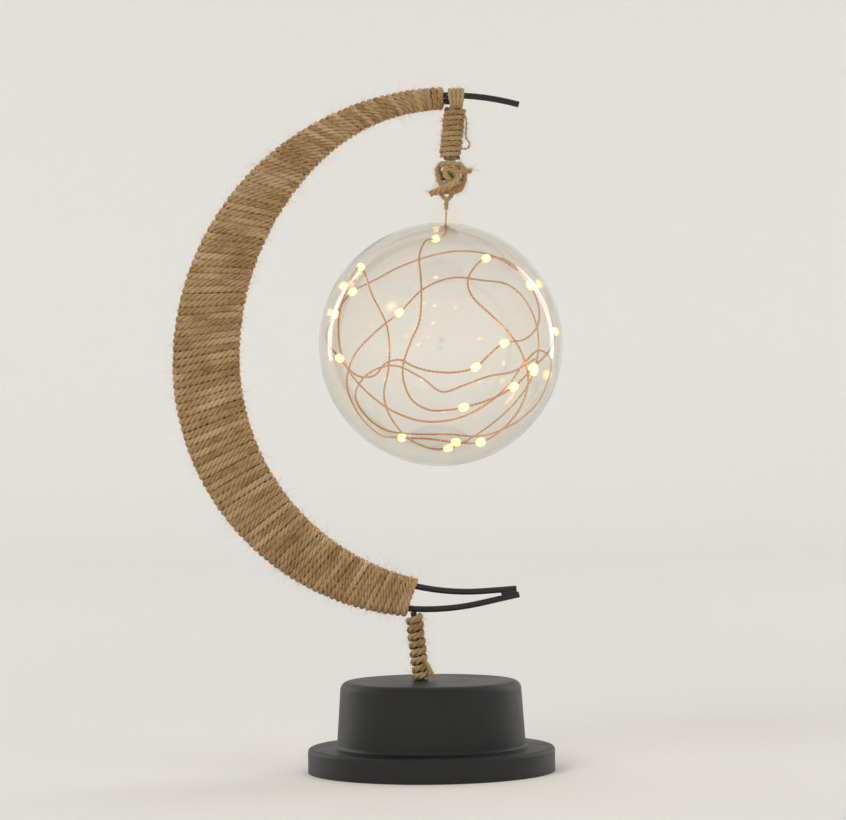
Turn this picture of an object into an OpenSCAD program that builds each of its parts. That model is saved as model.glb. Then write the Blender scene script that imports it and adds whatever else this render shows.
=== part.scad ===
// Moon lamp: a twine-wound crescent on a round base, with a clear ball of lights hung from its upper tip.
// Millimetres. X to the right, Y to the back, Z up. Origin: middle of the base, on the standing surface.

/* [Base] */
// How far the base flange stands out beyond the drum
flange_out = 11.9; // [8:0.1:20]
// Height of the base flange
flange_h = 10; // [8:0.5:12]
// Room between the corners of the battery tray and the drum's wall
drum_room = 1; // [0.8:0.1:8]
// How much smaller the drum's radius is at its top edge
drum_taper = 1.6; // [0:0.1:2]
// Height of the whole base
base_h = 37; // [35:0.5:50]
// Wall of the moulded base
base_wall = 2.2; // [1.8:0.1:2.6]
// Round on the drum's top edge
drum_round = 3.5; // [1:0.5:5]
// Round on the flange's upper edge
flange_round = 1.6; // [0.5:0.1:3]
// Fillet where the drum stands on the flange
foot_fillet = 1.4; // [0.5:0.1:3]

/* [Bottom cover and battery door] */
// Thickness of the bottom cover
cover_t = 3; // [2.8:0.1:3.6]
// Distance of the cover above the standing surface
cover_inset = 0.8; // [0.5:0.1:1.5]
// Gap round the cover and round the door
cover_gap = 0.3; // [0.1:0.05:0.5]
// Thickness of the battery door
door_t = 1.6; // [1.4:0.1:1.8]
// Width of the ledge that the door closes against
door_ledge = 1.6; // [1:0.1:1.8]
// Diameter of the door's hinge pins
door_pin_d = 1; // [0.8:0.1:1.2]
// Length of each hinge pin
door_pin_l = 1.2; // [0.8:0.1:1.5]
// Radius of the thumb notch beside the door
thumb_r = 7; // [5:0.5:9]
// Depth of the thumb notch
thumb_depth = 1.2; // [0.6:0.1:1.6]
// How far a screw boss is sunk in the drum's wall
boss_bite = 0.6; // [0.4:0.1:1]
// Diameter of the screw's shank
screw_d = 2.9; // [2.5:0.1:3]
// Length of the screw under its head
screw_l = 10; // [8:1:12]
// Diameter of the screw's head
screw_head_d = 5.2; // [4.8:0.1:5.4]
// Height of the screw's head
screw_head_h = 1.5; // [1.2:0.1:1.7]
// Diameter of a screw boss
boss_d = 6; // [5.4:0.1:6.2]

/* [Batteries] */
// Number of cells side by side
cell_count = 3; // [3:1:3]
// Diameter of a cell
cell_d = 14.2; // [13.5:0.1:14.4]
// Length of a cell with its positive button
cell_l = 50.5; // [49:0.1:50.6]
// Diameter of the positive button
button_d = 5.4; // [5:0.1:5.5]
// Length of the positive button
button_l = 1.2; // [1:0.1:1.5]
// Gap between neighbouring cells
cell_gap = 0.6; // [0.4:0.1:0.7]
// Length of a pressed contact spring
spring_l = 4; // [3:0.1:4.2]
// Larger diameter of a contact spring
spring_d = 8; // [6:0.5:9]
// Diameter of the spring's wire
spring_wire_d = 0.7; // [0.5:0.1:0.8]
// Thickness of a contact plate
plate_t = 0.4; // [0.3:0.1:0.5]
// Height of a contact plate
plate_h = 10; // [8:0.5:11]
// Wall of the battery tray
tray_wall = 1.2; // [1:0.1:1.4]
// Outer corner radius of the battery tray
tray_corner_r = 4; // [3.5:0.1:5]

/* [Switch and board] */
// Width of the switch bezel
bezel_w = 15; // [14:0.5:16]
// Height of the switch bezel
bezel_h = 10.4; // [10:0.2:11]
// Thickness of the switch bezel
bezel_t = 1.5; // [1.2:0.1:2]
// Width of the switch body behind the bezel
switch_w = 13; // [12.6:0.1:13.4]
// Height of the switch body behind the bezel
switch_h = 8.4; // [8:0.1:8.8]
// Depth of the switch body behind the bezel
switch_depth = 11; // [9:0.5:12]
// Height of the switch centre above the standing surface
switch_z = 26.5; // [26:0.5:27.5]
// Width of the rocker
rocker_w = 10.4; // [9.5:0.1:10.6]
// Height of the rocker
rocker_h = 6.4; // [5.5:0.1:6.6]
// Tilt of the rocker to each side
rocker_tilt = 12; // [8:1:14]
// Diameter of the rocker's pivot pins
rocker_pin_d = 1.2; // [1:0.1:1.3]
// Length of the circuit board
board_l = 18; // [14:1:22]
// Width of the circuit board
board_w = 11; // [9:1:14]
// Thickness of the circuit board
board_t = 1.2; // [1:0.1:1.6]

/* [Stem] */
// Distance of the stem's foot to the left of the base's middle
stem_left = 3.7; // [0:0.1:6]
// Lean of the stem to the left
stem_lean = 6.2; // [0:0.1:10]
// Length of the stem from the base's top to the middle of the outer wire
stem_l = 29.6; // [24:0.2:45]
// Diameter of the frame's iron wire
wire_d = 2.5; // [2.2:0.1:3]
// Diameter of the collar that seats on the base
collar_d = 5.6; // [5:0.1:6]
// Thickness of the collar
collar_t = 1; // [0.8:0.1:1.5]
// Height of the seat inside the base, under the drum's top
seat_t = 4.6; // [3.8:0.1:6]
// Diameter of the washer under the seat
washer_d = 9; // [8:0.5:11]
// Thickness of the washer
washer_t = 0.8; // [0.5:0.1:1]
// Width of the nut across its flats
nut_af = 5; // [4.8:0.1:5.5]
// Height of the nut
nut_h = 2; // [1.8:0.1:2.5]

/* [Crescent] */
// Radius of the outer wire above its leftmost point
outer_upper_r = 110.2; // [108:0.2:114]
// Radius of the outer wire below its leftmost point
outer_lower_r = 100.9; // [98:0.1:104]
// Angle from the lowest point of the outer wire to its weld on the stem
weld_angle = 3.7; // [1:0.1:6]
// Angle from the highest point of the outer wire to its bare upper tip
upper_tip_angle = 15.8; // [13:0.1:20]
// Angle from the lowest point of the outer wire to where its lower tip runs straight
lower_tip_angle = 12.2; // [8:0.1:16]
// Length of the straight lower tip
lower_tip_l = 16.2; // [10:0.1:24]
// Distance between the two wires at the widest place
crescent_w = 21.1; // [17:0.1:24]
// Height of the inner wire's leftmost point above the outer wire's
inner_rise = 2.5; // [0:0.1:5]
// How much larger the inner wire's radius is than the outer's, above its leftmost point
inner_upper_more = 5.5; // [3:0.1:8]
// Angle over which that upper radius runs, before the wire closes on the outer one
inner_upper_sweep = 45.2; // [42:0.2:50]
// How much smaller the inner wire's radius is than the outer's, below its leftmost point
inner_lower_less = 4.5; // [3:0.1:6]
// Number of welded spacers between the wires
spacer_count = 5; // [3:1:7]
// Diameter of a spacer
spacer_d = 2; // [1.6:0.1:2]
// Angle between neighbouring spacers
spacer_step = 27; // [18:1:28]

/* [Twine] */
// Diameter of the twine on the crescent
twine_d = 2; // [1.8:0.05:2.2]
// Number of turns of twine on the crescent
crescent_turns = 98; // [80:1:100]
// Clearance of the twine above what it is wound on
twine_gap = 0.1; // [0.05:0.01:0.2]
// Free length of the outer wire between the stem and the first turn
first_turn_gap = 2.7; // [2.7:0.1:5]
// Angle of the first turn on the inner wire, below its leftmost point
first_turn_angle = 77; // [72:0.5:80]
// Angle of the last turn on both wires, above their leftmost points
last_turn_angle = 88.8; // [86:0.2:89]
// Diameter of the twine on the stem
stem_twine_d = 1.8; // [1.6:0.1:2]
// Number of turns of twine on the stem
stem_turns = 7; // [5:1:9]

/* [Hanger] */
// Distance of the hanging eye to the right of the outer wire's highest point
eye_right = 2.4; // [2.4:0.1:6]
// Inner radius of the eye
eye_r = 2.05; // [1.9:0.05:2.6]
// Distance of the bundle's top to the right of the eye
bundle_right = 1.4; // [0:0.1:2.4]
// Distance of the bundle's top below the eye's middle
bundle_drop = 3.9; // [3.7:0.1:6]
// Length of the wound bundle
bundle_l = 22; // [18:0.5:30]
// Lean of the bundle
bundle_lean = 6.4; // [0:0.2:10]
// Diameter of the bundle's core
core_d = 5.6; // [4.8:0.1:6.4]
// Number of turns round the bundle
bundle_turns = 8; // [6:0.5:8]
// Bare length of the bundle above those turns
bundle_bare = 1.3; // [1.1:0.1:3]
// Diameter of the twine of the hanger
hanger_twine_d = 1.8; // [1.6:0.05:1.85]
// Gap between the bundle and the knot, in which the knot turns
knot_gap = 1; // [0.9:0.1:2]
// Diameter of the strands between the bundle and the knot
neck_d = 2.4; // [2:0.1:2.6]
// Length of those strands inside the knot
neck_l = 4.6; // [3:0.1:6]
// Height of the knot
knot_h = 13; // [10:0.2:14]
// Radius to the middle of the knot's rope turns
knot_r = 3.4; // [3:0.1:4]
// Thickness of the knot's rope turns
knot_rope_d = 3.4; // [3:0.1:3.6]
// Distance of the ball's lug to the left of the knot's middle
lug_left = 1.6; // [0:0.1:2]

/* [Ball] */
// Outer diameter of the ball
ball_d = 100; // [90:1:106]
// Wall of the ball
ball_wall = 1.2; // [1:0.1:1.6]
// Lean of the ball
ball_lean = 3.1; // [0:0.1:5]
// Depth of the lip that joins the halves
lip_l = 3; // [2:0.5:5]
// Thickness of the lip
lip_t = 0.9; // [0.7:0.1:1.2]
// Gap between the lip and the half that it enters
lip_gap = 0.05; // [0.02:0.01:0.1]
// Width of the lug at the ball
lug_w = 16; // [14:0.5:20]
// Thickness of the lug over both halves
lug_t = 3.6; // [3:0.2:3.8]
// Distance of the lug's hole from the ball's surface
lug_hole_rise = 5.5; // [5:0.1:7]
// Diameter of the lug's hole
lug_hole_d = 5.3; // [5.2:0.1:6]
// Width of material round the lug's hole
lug_rim = 2.7; // [2:0.1:3.2]

/* [Lights] */
// Diameter of the two-strand copper wire in the ball
led_wire_d = 0.9; // [0.7:0.05:1]
// Diameter of a light's resin drop
led_bead_d = 3.2; // [2.4:0.1:3.6]
// Diameter of the lead that runs under the twine
lead_d = 0.8; // [0.6:0.05:0.8]

/* [Hidden] */
$fn = 64;

touch = 0.02;      // gap left between faces that bear on each other
running = 0.05;    // radial clearance of a shaft in its hole
eps = 1;           // how far a cutting body passes the face it cuts

twine_colour = "#a5834f";
iron_colour = "#17171a";
moulding_colour = "#161616";

// ---- Base, worked out ----
cover_top = cover_inset + cover_t;
cavity_top = base_h - base_wall;

// Tray, cells and contacts
cell_pitch = cell_d + cell_gap;
tray_in_l = cell_l + spring_l + 2 * plate_t;
tray_in_w = cell_count * cell_pitch + 0.2;
tray_l = tray_in_l + 2 * tray_wall;
tray_w = tray_in_w + 2 * tray_wall;
// The drum is as wide as the tray's corners ask
tray_reach = norm([tray_l / 2 - tray_corner_r, tray_w / 2 - tray_corner_r]) + tray_corner_r;
foot_r = tray_reach + drum_room + base_wall;
top_r = foot_r - drum_taper;
flange_r = foot_r + flange_out;
door_z = cover_inset + 0.1;
door_l = tray_in_l + 2 * door_ledge;
door_w = tray_in_w + 2 * door_ledge;
door_recess = door_t + 0.3;
door_axis_x = -door_l / 2 + door_t / 2;
door_axis_z = door_z + door_t / 2;
cell_z = door_z + door_t + 0.3 + cell_d / 2;
tray_top = cell_z + cell_d / 2 + 0.3 + tray_wall;

// Screws
screw_hole_d = screw_d + 2 * running;
screw_ring_r = foot_r - base_wall - boss_d / 2 + boss_bite;
boss_top = cover_top + screw_l;

// Switch: its panel is a flat cut into the drum's back
drum_r_at_switch = foot_r - (foot_r - top_r) * (switch_z - flange_h) / (base_h - drum_round - flange_h);
panel_y = sqrt(pow(drum_r_at_switch, 2) - pow(bezel_w / 2, 2)) - 0.4;
panel_t = 2.4;
rocker_axis_y = panel_y + 0.2;
rocker_pin_l = 0.5;

// ---- Stem frame: origin on the base's top, axis up the stem ----
wire_r = wire_d / 2;
lead_r = lead_d / 2;
stem_foot = [-stem_left, 0, base_h];
lead_beside = wire_r + lead_r + running;   // lead's middle from the middle of a wire it lies against
stem_weld = [-stem_left - stem_l * sin(stem_lean), base_h + stem_l * cos(stem_lean)];
stem_twine_r = stem_twine_d / 2;
stem_wrap_shift = (lead_beside + lead_r - wire_r) / 2;
stem_wrap_r = wire_r + stem_wrap_shift + twine_gap + stem_twine_r / cos(18);

// ---- Crescent wires, in the XZ plane as [x, z] ----
outer_lower_c = stem_weld + outer_lower_r * [sin(weld_angle), cos(weld_angle)];
outer_left = outer_lower_c - [outer_lower_r, 0];
outer_upper_c = outer_left + [outer_upper_r, 0];
tip_dir = [cos(lower_tip_angle), sin(lower_tip_angle)];
tip_up = [-sin(lower_tip_angle), cos(lower_tip_angle)];
tip_start = outer_lower_c + outer_lower_r * [sin(lower_tip_angle), -cos(lower_tip_angle)];
tip_end = tip_start + lower_tip_l * tip_dir;

inner_upper_r = outer_upper_r + inner_upper_more;
inner_lower_r = outer_lower_r - inner_lower_less;
inner_left = outer_left + [crescent_w, inner_rise];
inner_lower_c = inner_left + [inner_lower_r, 0];
inner_upper_c = inner_left + [inner_upper_r, 0];
// The upper end is an arc that starts tangent to the upper radius and ends tangent to the outer wire
close_dir = [-cos(inner_upper_sweep), sin(inner_upper_sweep)];
close_from = inner_upper_c + inner_upper_r * close_dir;
close_limit = outer_upper_r - wire_d - running;
close_gap = outer_upper_c - close_from;
close_r = (pow(close_limit, 2) - close_gap * close_gap) / (2 * (close_limit + close_gap * close_dir));
close_c = close_from - close_r * close_dir;
close_end = atan2(close_c[1] - outer_upper_c[1], close_c[0] - outer_upper_c[0]) - 2.5;
// The lower end runs straight, tangent to the lower radius, to the outer wire's tip
inner_tip = tip_end - 0.6 * tip_dir + (wire_d + running) * tip_up;
inner_tip_v = inner_tip - inner_lower_c;
inner_tip_angle = atan2(inner_tip_v[0], -inner_tip_v[1]) - acos(inner_lower_r / norm(inner_tip_v));
inner_tip_l = sqrt(inner_tip_v * inner_tip_v - pow(inner_lower_r, 2));

// Lengths of a wire stop this far short of the middle of the ball that joins them
joint_l = 0.08;
joint_turn = joint_l / close_r * 180 / PI;

// Points of the two wires at an angle above (or below) their leftmost points
function outer_at(a) =
    let (r = a < 0 ? outer_lower_r : outer_upper_r)
    outer_left + r * [1 - cos(a), sin(a)];
function inner_at(a) =
    let (r = a < 0 ? inner_lower_r : inner_upper_r)
    a > inner_upper_sweep ? close_c + close_r * [-cos(a), sin(a)] : inner_left + r * [1 - cos(a), sin(a)];
function unit(v) = v / norm(v);
function in_plane(p, y) = [p[0], y, p[1]];

// ---- Winding on the crescent ----
twine_r = twine_d / 2;
lead_out = (wire_d + running) / 2;                               // lead's middle, inward of the outer wire
lead_y = sqrt(pow(lead_beside, 2) - pow(lead_out, 2));           // and behind it, in the wires' groove
strand_y = lead_y + lead_r + twine_gap + twine_r;                // the flat strands, in front and behind
edge_out = (wire_r + twine_gap + twine_r) / cos(30);             // the strands' turn round a wire
first_outer = -90 + weld_angle + first_turn_gap / outer_lower_r * 180 / PI;
rings_per_turn = 6;
wrap_sides = 4;
wrap_rings = crescent_turns * rings_per_turn;

// Lengths along the wires from their leftmost points, and the angles that they reach
deg = PI / 180;
inner_upper_l = inner_upper_r * inner_upper_sweep * deg;
outer_from = first_outer * outer_lower_r * deg;
outer_to = last_turn_angle * outer_upper_r * deg;
inner_from = -first_turn_angle * inner_lower_r * deg;
inner_to = inner_upper_l + (last_turn_angle - inner_upper_sweep) * close_r * deg;
function outer_angle(l) = l / deg / (l < 0 ? outer_lower_r : outer_upper_r);
function inner_angle(l) =
    l < inner_upper_l ? l / deg / (l < 0 ? inner_lower_r : inner_upper_r)
        : inner_upper_sweep + (l - inner_upper_l) / deg / close_r;

// Where the strand is at ring k, as [point, outward direction]
function wrap_ring(k) =
    let (
        t = k / wrap_rings,
        po = outer_at(outer_angle(outer_from + (outer_to - outer_from) * t)),
        pi = inner_at(inner_angle(inner_from + (inner_to - inner_from) * t)),
        w = unit(pi - po),
        j = k % rings_per_turn,
        on_outer = j < 3,
        side = on_outer ? -1 : 1,
        c = on_outer ? po : pi,
        ys = (j == 0 || j == 5) ? 1 : (j == 1 || j == 4) ? 0 : -1,
        out = ys == 0 ? edge_out : edge_out / 2
    )
    [in_plane(c + side * out * w, ys * strand_y), unit(in_plane(side * out * w, ys * strand_y))];

// ---- A round tube through points, each with its outward direction ----
function tangent(p, i) = unit(p[min(i + 1, len(p) - 1)] - p[max(i - 1, 0)]);
function tube_ring(p, up, i, r, sides) =
    let (
        t = tangent(p, i),
        n = unit(up - (up * t) * t),
        b = cross(t, n)
    )
    [for (s = [0 : sides - 1]) p[i] + r * (cos(s * 360 / sides) * n + sin(s * 360 / sides) * b)];
module tube(p, ups, r, sides) {
    rings = [for (i = [0 : len(p) - 1]) tube_ring(p, ups[i], i, r, sides)];
    last = (len(p) - 1) * sides;
    skin = [for (i = [0 : len(p) - 2]) for (s = [0 : sides - 1])
        let (a = i * sides + s, b = i * sides + (s + 1) % sides)
        each [[a, b, b + sides], [a, b + sides, a + sides]]];
    caps = [for (s = [1 : sides - 2]) each [[0, s + 1, s], [last, last + s, last + s + 1]]];
    polyhedron(points = [for (ring = rings) each ring], faces = concat(skin, caps), convexity = 10);
}

// Least distance between the surfaces of stretches of one tube that are more than skip points apart
function least_gap(p, r, skip, reach) =
    min([for (i = [0 : len(p) - 1]) for (j = [i + skip : 1 : min(i + reach, len(p) - 1)])
        norm(p[i] - p[j])]) - 2 * r;

// ---- Hanger, from the outer wire's highest point ----
wire_top_z = outer_upper_c[1] + outer_upper_r + wire_r;
eye_x = outer_upper_c[0] + eye_right;
eye_z = wire_top_z + touch - eye_r;
hanger_r = hanger_twine_d / 2;
bundle_top = [eye_x + bundle_right, 0, eye_z - bundle_drop];
bundle_wrap_r = core_d / 2 + twine_gap + hanger_r / cos(18);
bundle_end_l = 0.5;                                  // bare length below the turns
bundle_pitch = (bundle_l - hanger_twine_d - bundle_end_l - bundle_bare) / bundle_turns;
bundle_end = bundle_top - bundle_l * [sin(bundle_lean), 0, cos(bundle_lean)];
knot_x = bundle_end[0];
knot_top = bundle_end[2] - (core_d / 2 + hanger_twine_d) * sin(bundle_lean) - knot_gap;
knot_bottom = knot_top - knot_h;

// ---- Ball, from the hole that the loop holds ----
ball_r = ball_d / 2;
lug_hole_r = lug_hole_d / 2;
lug_top = ball_r + lug_hole_rise + lug_hole_r + lug_rim;
loop_x = knot_x - lug_left;
loop_in = 2.4;                                       // how far its legs run into the knot
loop_r = lug_t / 2 + 0.3 + hanger_r;                 // middle of the loop's bend
loop_bears = loop_r - sqrt(pow(loop_r - hanger_r, 2) - pow(lug_t / 2, 2));   // where the lug's edges rest
loop_low = knot_bottom - 0.6 - lug_rim - loop_bears - touch;                 // middle of its lowest point
hole_z = loop_low + loop_bears + touch - lug_hole_r;
ball_c = [loop_x - (ball_r + lug_hole_rise) * sin(ball_lean), 0,
    hole_z - (ball_r + lug_hole_rise) * cos(ball_lean)];
ball_in = ball_r - ball_wall;
feed_hole_y = 5.2;
feed_hole_d = 2.2;

// Route of the light wire against the ball's wall, chosen by hand from its front view. Each row has the
// point's place right of the middle and above it, in hundredths of the ball's inside radius, its side
// (-1 front, 1 back), its distance in from the wall in mm, and 1 where there is a light.
LED_ROUTE = [
    [0, 95.1, 1, 2, 0], [-8.2, 91.2, 1, 2.5, 1], [-16.4, 86.1, -1, 5.9, 0], [-20.5, 68.6, -1, 3, 0],
    [-18.4, 49.2, -1, 2, 0], [-17.4, 31.8, -1, 1.6, 0], [-18.4, 14.3, -1, 1.4, 0],
    [-24.6, -2, -1, 1.4, 0], [-29.7, -19.5, -1, 1.4, 0], [-28.7, -33.8, -1, 1.4, 0],
    [-21.5, -48.2, -1, 1.4, 0], [-8.2, -55.3, -1, 1.4, 0], [6.1, -55.3, -1, 1.4, 0],
    [20.5, -52.3, -1, 1.4, 1], [41, -45.1, -1, 1.4, 0], [60.5, -33.8, -1, 1.4, 1],
    [75.8, -17.4, -1, 1.4, 1], [89.1, -2, -1, 1.2, 0], [94.3, 14.3, -1, 1.2, 1],
    [90.2, 32.8, 1, 1.2, 0], [77.9, 53.3, 1, 1.4, 1], [61.5, 68.6, 1, 1.6, 0], [40, 79.9, 1, 2, 0],
    [13.3, 83, 1, 2, 0], [-12.3, 77.9, 1, 2, 0], [-37.9, 67.6, 1, 2, 0], [-58.4, 55.3, 1, 2, 0],
    [-77.9, 43, 1, 2, 1], [-91.2, 22.5, 1, 1.6, 1], [-95.3, 2, -1, 1.4, 0], [-82, -16.4, -1, 2, 1],
    [-67.6, -29.7, -1, 3.5, 0], [-53.3, -29.7, -1, 4, 0], [-44.1, -19.5, -1, 4, 0],
    [-32.8, -16.4, -1, 4, 0], [-20.5, -21.5, -1, 4, 0], [-6.1, -24.6, -1, 3.6, 0],
    [12.3, -24.6, -1, 3.4, 0], [28.7, -19.5, -1, 3.2, 1], [41, -7.2, -1, 3.2, 0], [51.2, 1, -1, 3.2, 1],
    [67.6, 5.1, -1, 3, 0], [77.9, 16.4, -1, 3, 0], [78.9, 32.8, -1, 3, 0], [71.7, 51.2, -1, 3, 1],
    [61.5, 63.5, -1, 3, 0], [48.2, 71.7, -1, 4, 0], [33.8, 70.7, -1, 4.5, 1], [23.6, 60.5, -1, 4, 0],
    [19.5, 48.2, -1, 3, 0], [24.6, 35.9, -1, 3, 0], [38.9, 23.6, -1, 3.6, 0], [53.3, 11.3, -1, 5.4, 0],
    [65.6, -5.1, -1, 5.8, 0], [72.7, -26.6, -1, 5, 0], [67.6, -49.2, -1, 3.4, 0],
    [53.3, -68.6, -1, 3, 0], [35.9, -79.9, -1, 3, 1], [15.4, -80.9, -1, 3, 1], [-6.1, -78.9, -1, 3, 0],
    [-28.7, -78.9, -1, 3, 1], [-49.2, -77.9, 1, 3.4, 0], [-67.6, -61.5, 1, 3, 0],
    [-78.9, -37.9, 1, 3, 0], [-74.8, -12.3, 1, 3.4, 0], [-58.4, 9.2, 1, 3.8, 0],
    [-36.9, 28.7, 1, 3.8, 1], [-16.4, 50.2, 1, 4, 0], [8.2, 60.5, 1, 4, 0], [31.8, 59.4, 1, 4, 0],
    [56.4, 55.3, 1, 4, 0], [73.8, 38.9, 1, 4.2, 0], [84, 12.3, 1, 3.4, 0], [82, -18.4, 1, 3, 1],
    [67.6, -45.1, 1, 3, 0], [41, -70.7, 1, 3, 0], [10.2, -88.1, 1, 3, 1], [-16.4, -85, 1, 4, 0],
    [-36.9, -68.6, 1, 3.4, 0], [-47.1, -45.1, 1, 2.4, 0], [-44.1, -16.4, 1, 1.6, 0],
    [-47.1, 15.4, 1, 1.2, 0], [-61.5, 43, 1, 3.8, 0], [-69.7, 61.5, -1, 3, 1]
];
led_steps = 2;
led_sides = 5;
led_wire_r = led_wire_d / 2;
function led_point(row) =
    let (
        r = ball_in - max(row[3], (row[4] == 1 ? led_bead_d : led_wire_d) / 2 + 0.1),
        x = row[0] * ball_in / 100,
        z = row[1] * ball_in / 100
    )
    [x, row[2] * sqrt(max(0, r * r - x * x - z * z)), z];
function smooth(a, b, c, d, t) =
    0.5 * (2 * b + (c - a) * t + (2 * a - 5 * b + 4 * c - d) * t * t
        + (3 * b - a - 3 * c + d) * t * t * t);
function along(p, steps) =
    let (n = len(p) - 1)
    [for (i = [0 : n - 1]) for (s = [0 : steps - 1])
        smooth(p[max(i - 1, 0)], p[i], p[i + 1], p[min(i + 2, n)], s / steps), p[n]];
tail_z = lug_top - 0.6;
led_tail = [[0, feed_hole_y, tail_z], [0, feed_hole_y, (tail_z + ball_r) / 2], [0, feed_hole_y, ball_r - 1]];
led_points = concat(led_tail, along([for (row = LED_ROUTE) led_point(row)], led_steps));

// ---- Lead under the twine, from the board to the last turn ----
function stem_point(p) =
    stem_foot + [p[0] * cos(stem_lean) - p[2] * sin(stem_lean), p[1],
        p[0] * sin(stem_lean) + p[2] * cos(stem_lean)];
function lead_at(a) =
    let (r = (a < 0 ? outer_lower_r : outer_upper_r) - lead_out)
    in_plane(outer_left + [lead_out, 0] + r * [1 - cos(a), sin(a)], lead_y);
lead_out_y = nut_af / 2 + lead_r + 0.5;               // lead's middle beside the nut
lead_rings = 60;
lead_from = first_outer - 0.3;
lead_to = last_turn_angle;
board_x = 14;
board_y = -6;
board_z = tray_top + touch;
lead_points = concat(
    [[board_x - board_l / 2 + 2, board_y, board_z + board_t + lead_r + touch],
        [board_x - board_l / 2 - 2, board_y, board_z + board_t + lead_r + touch],
        [-3, 1, board_z + board_t + 2]],
    [for (p = [[0, lead_out_y + 0.6, -seat_t - 7], [0, lead_out_y + 0.2, -seat_t - 3],
            [0, lead_out_y, -seat_t - 0.4], [0, lead_beside, 0.2], [0, lead_beside, 3],
            [0, lead_beside, stem_l / 2], [0, lead_beside, stem_l - 1]]) stem_point(p)],
    [in_plane(stem_weld + 0.5 * unit(outer_lower_c - stem_weld), lead_beside),
        in_plane(outer_at(first_outer - 1.1) + 1.1 * unit(outer_lower_c - outer_at(first_outer)),
            lead_y + 0.3)],
    [for (i = [0 : lead_rings]) lead_at(lead_from + (lead_to - lead_from) * i / lead_rings)]
);

// ======== Shared shapes ========
module arc_of_wire(c, r, from, to, wire) {
    translate([c[0], 0, c[1]]) rotate([90, 0, 0]) rotate([0, 0, from])
        rotate_extrude(angle = to - from) translate([r, 0]) circle(d = wire);
}
// Two lengths of a wire meet in a ball a hair thicker than the wire
module wire_joint(p) {
    translate(in_plane(p, 0)) sphere(d = wire_d + 0.02);
}
module bar_between(a, b, d) {
    v = b - a;
    translate(a) rotate([0, acos(v[2] / norm(v)), atan2(v[1], v[0])]) cylinder(d = d, h = norm(v));
}
module in_stem_frame() {
    translate(stem_foot) rotate([0, -stem_lean, 0]) children();
}
module in_bundle_frame() {
    translate(bundle_top) rotate([0, bundle_lean, 0]) children();
}
module in_ball_frame() {
    translate(ball_c) rotate([0, ball_lean, 0]) children();
}
module round_plate(l, w, h, r) {
    linear_extrude(h) {
        square([l - 2 * r, w], center = true);
        square([l, w - 2 * r], center = true);
        for (x = [-1, 1]) for (y = [-1, 1])
            translate([x * (l / 2 - r), y * (w / 2 - r)]) circle(r);
    }
}
module at_screws() {
    for (a = [0 : 90 : 270]) rotate([0, 0, a]) translate([screw_ring_r, 0, 0]) children();
}
module winding(r, pitch, turns, twine_radius, rings) {
    last = ceil(turns * rings);
    p = [for (k = [0 : last])
        [r * cos(360 * k / rings), r * sin(360 * k / rings), pitch * k / rings]];
    ups = [for (k = [0 : last]) [cos(360 * k / rings), sin(360 * k / rings), 0]];
    echo(least_gap_of_winding = least_gap(p, twine_radius, 3, 3 * rings));
    tube(p, ups, twine_radius, 5);
}

// ======== Base ========
module base_outside() {
    rotate_extrude() {
        square([flange_r, flange_h - flange_round]);
        square([flange_r - flange_round, flange_h]);
        translate([flange_r - flange_round, flange_h - flange_round]) circle(flange_round);
        polygon([[0, 0], [foot_r, 0], [foot_r, flange_h], [top_r, base_h - drum_round],
            [0, base_h - drum_round]]);
        translate([top_r - drum_round, base_h - drum_round]) circle(drum_round);
        square([top_r - drum_round, base_h]);
        difference() {
            translate([foot_r - foot_fillet, flange_h - 0.5])
                square([2 * foot_fillet, foot_fillet + 0.5]);
            translate([foot_r + foot_fillet, flange_h + foot_fillet]) circle(foot_fillet);
        }
    }
}
module base_cavity() {
    rotate_extrude()
        polygon([[0, -eps], [flange_r - base_wall, -eps], [flange_r - base_wall, flange_h - base_wall],
            [foot_r - base_wall, flange_h - base_wall], [top_r - base_wall, cavity_top - 3],
            [top_r - base_wall - 3, cavity_top], [0, cavity_top]]);
}
module base_housing() color(moulding_colour) {
    difference() {
        union() {
            difference() {
                base_outside();
                base_cavity();
            }
            intersection() {
                base_outside();
                union() {
                    // Bosses for the cover's screws
                    at_screws() translate([0, 0, cover_top + touch])
                        cylinder(d = boss_d, h = boss_top - cover_top + 2);
                    // Pad behind the switch
                    translate([-bezel_w / 2 - 2, panel_y - panel_t, switch_z - bezel_h / 2 - 1.5])
                        cube([bezel_w + 4, foot_r - panel_y + panel_t, bezel_h + 3]);
                    // Seat for the stem's washer
                    in_stem_frame() translate([0, 0, -seat_t]) cylinder(d = washer_d + 3, h = seat_t - 1);
                }
            }
        }
        at_screws() translate([0, 0, cover_top - eps])
            cylinder(d = screw_hole_d, h = boss_top - cover_top + eps + 0.5);
        // Flat panel and cut-out for the switch
        translate([-bezel_w / 2 - 0.4, panel_y, switch_z - bezel_h / 2 - 0.4])
            cube([bezel_w + 0.8, foot_r, bezel_h + 0.8]);
        translate([-switch_w / 2 - 0.1, panel_y - panel_t - eps, switch_z - switch_h / 2 - 0.1])
            cube([switch_w + 0.2, panel_t + 2 * eps, switch_h + 0.2]);
        // Bore for the stem, its spot face, and the way of the lead beside it
        in_stem_frame() {
            translate([0, 0, -seat_t - eps]) cylinder(d = wire_d + 2 * running, h = seat_t + 4);
            translate([0, 0, -0.5]) cylinder(d = collar_d + 0.4, h = 4);
            bar_between([0, lead_beside, 0.5], [0, lead_out_y + 0.3, -seat_t - 1], lead_d + 0.5);
        }
    }
}
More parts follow.
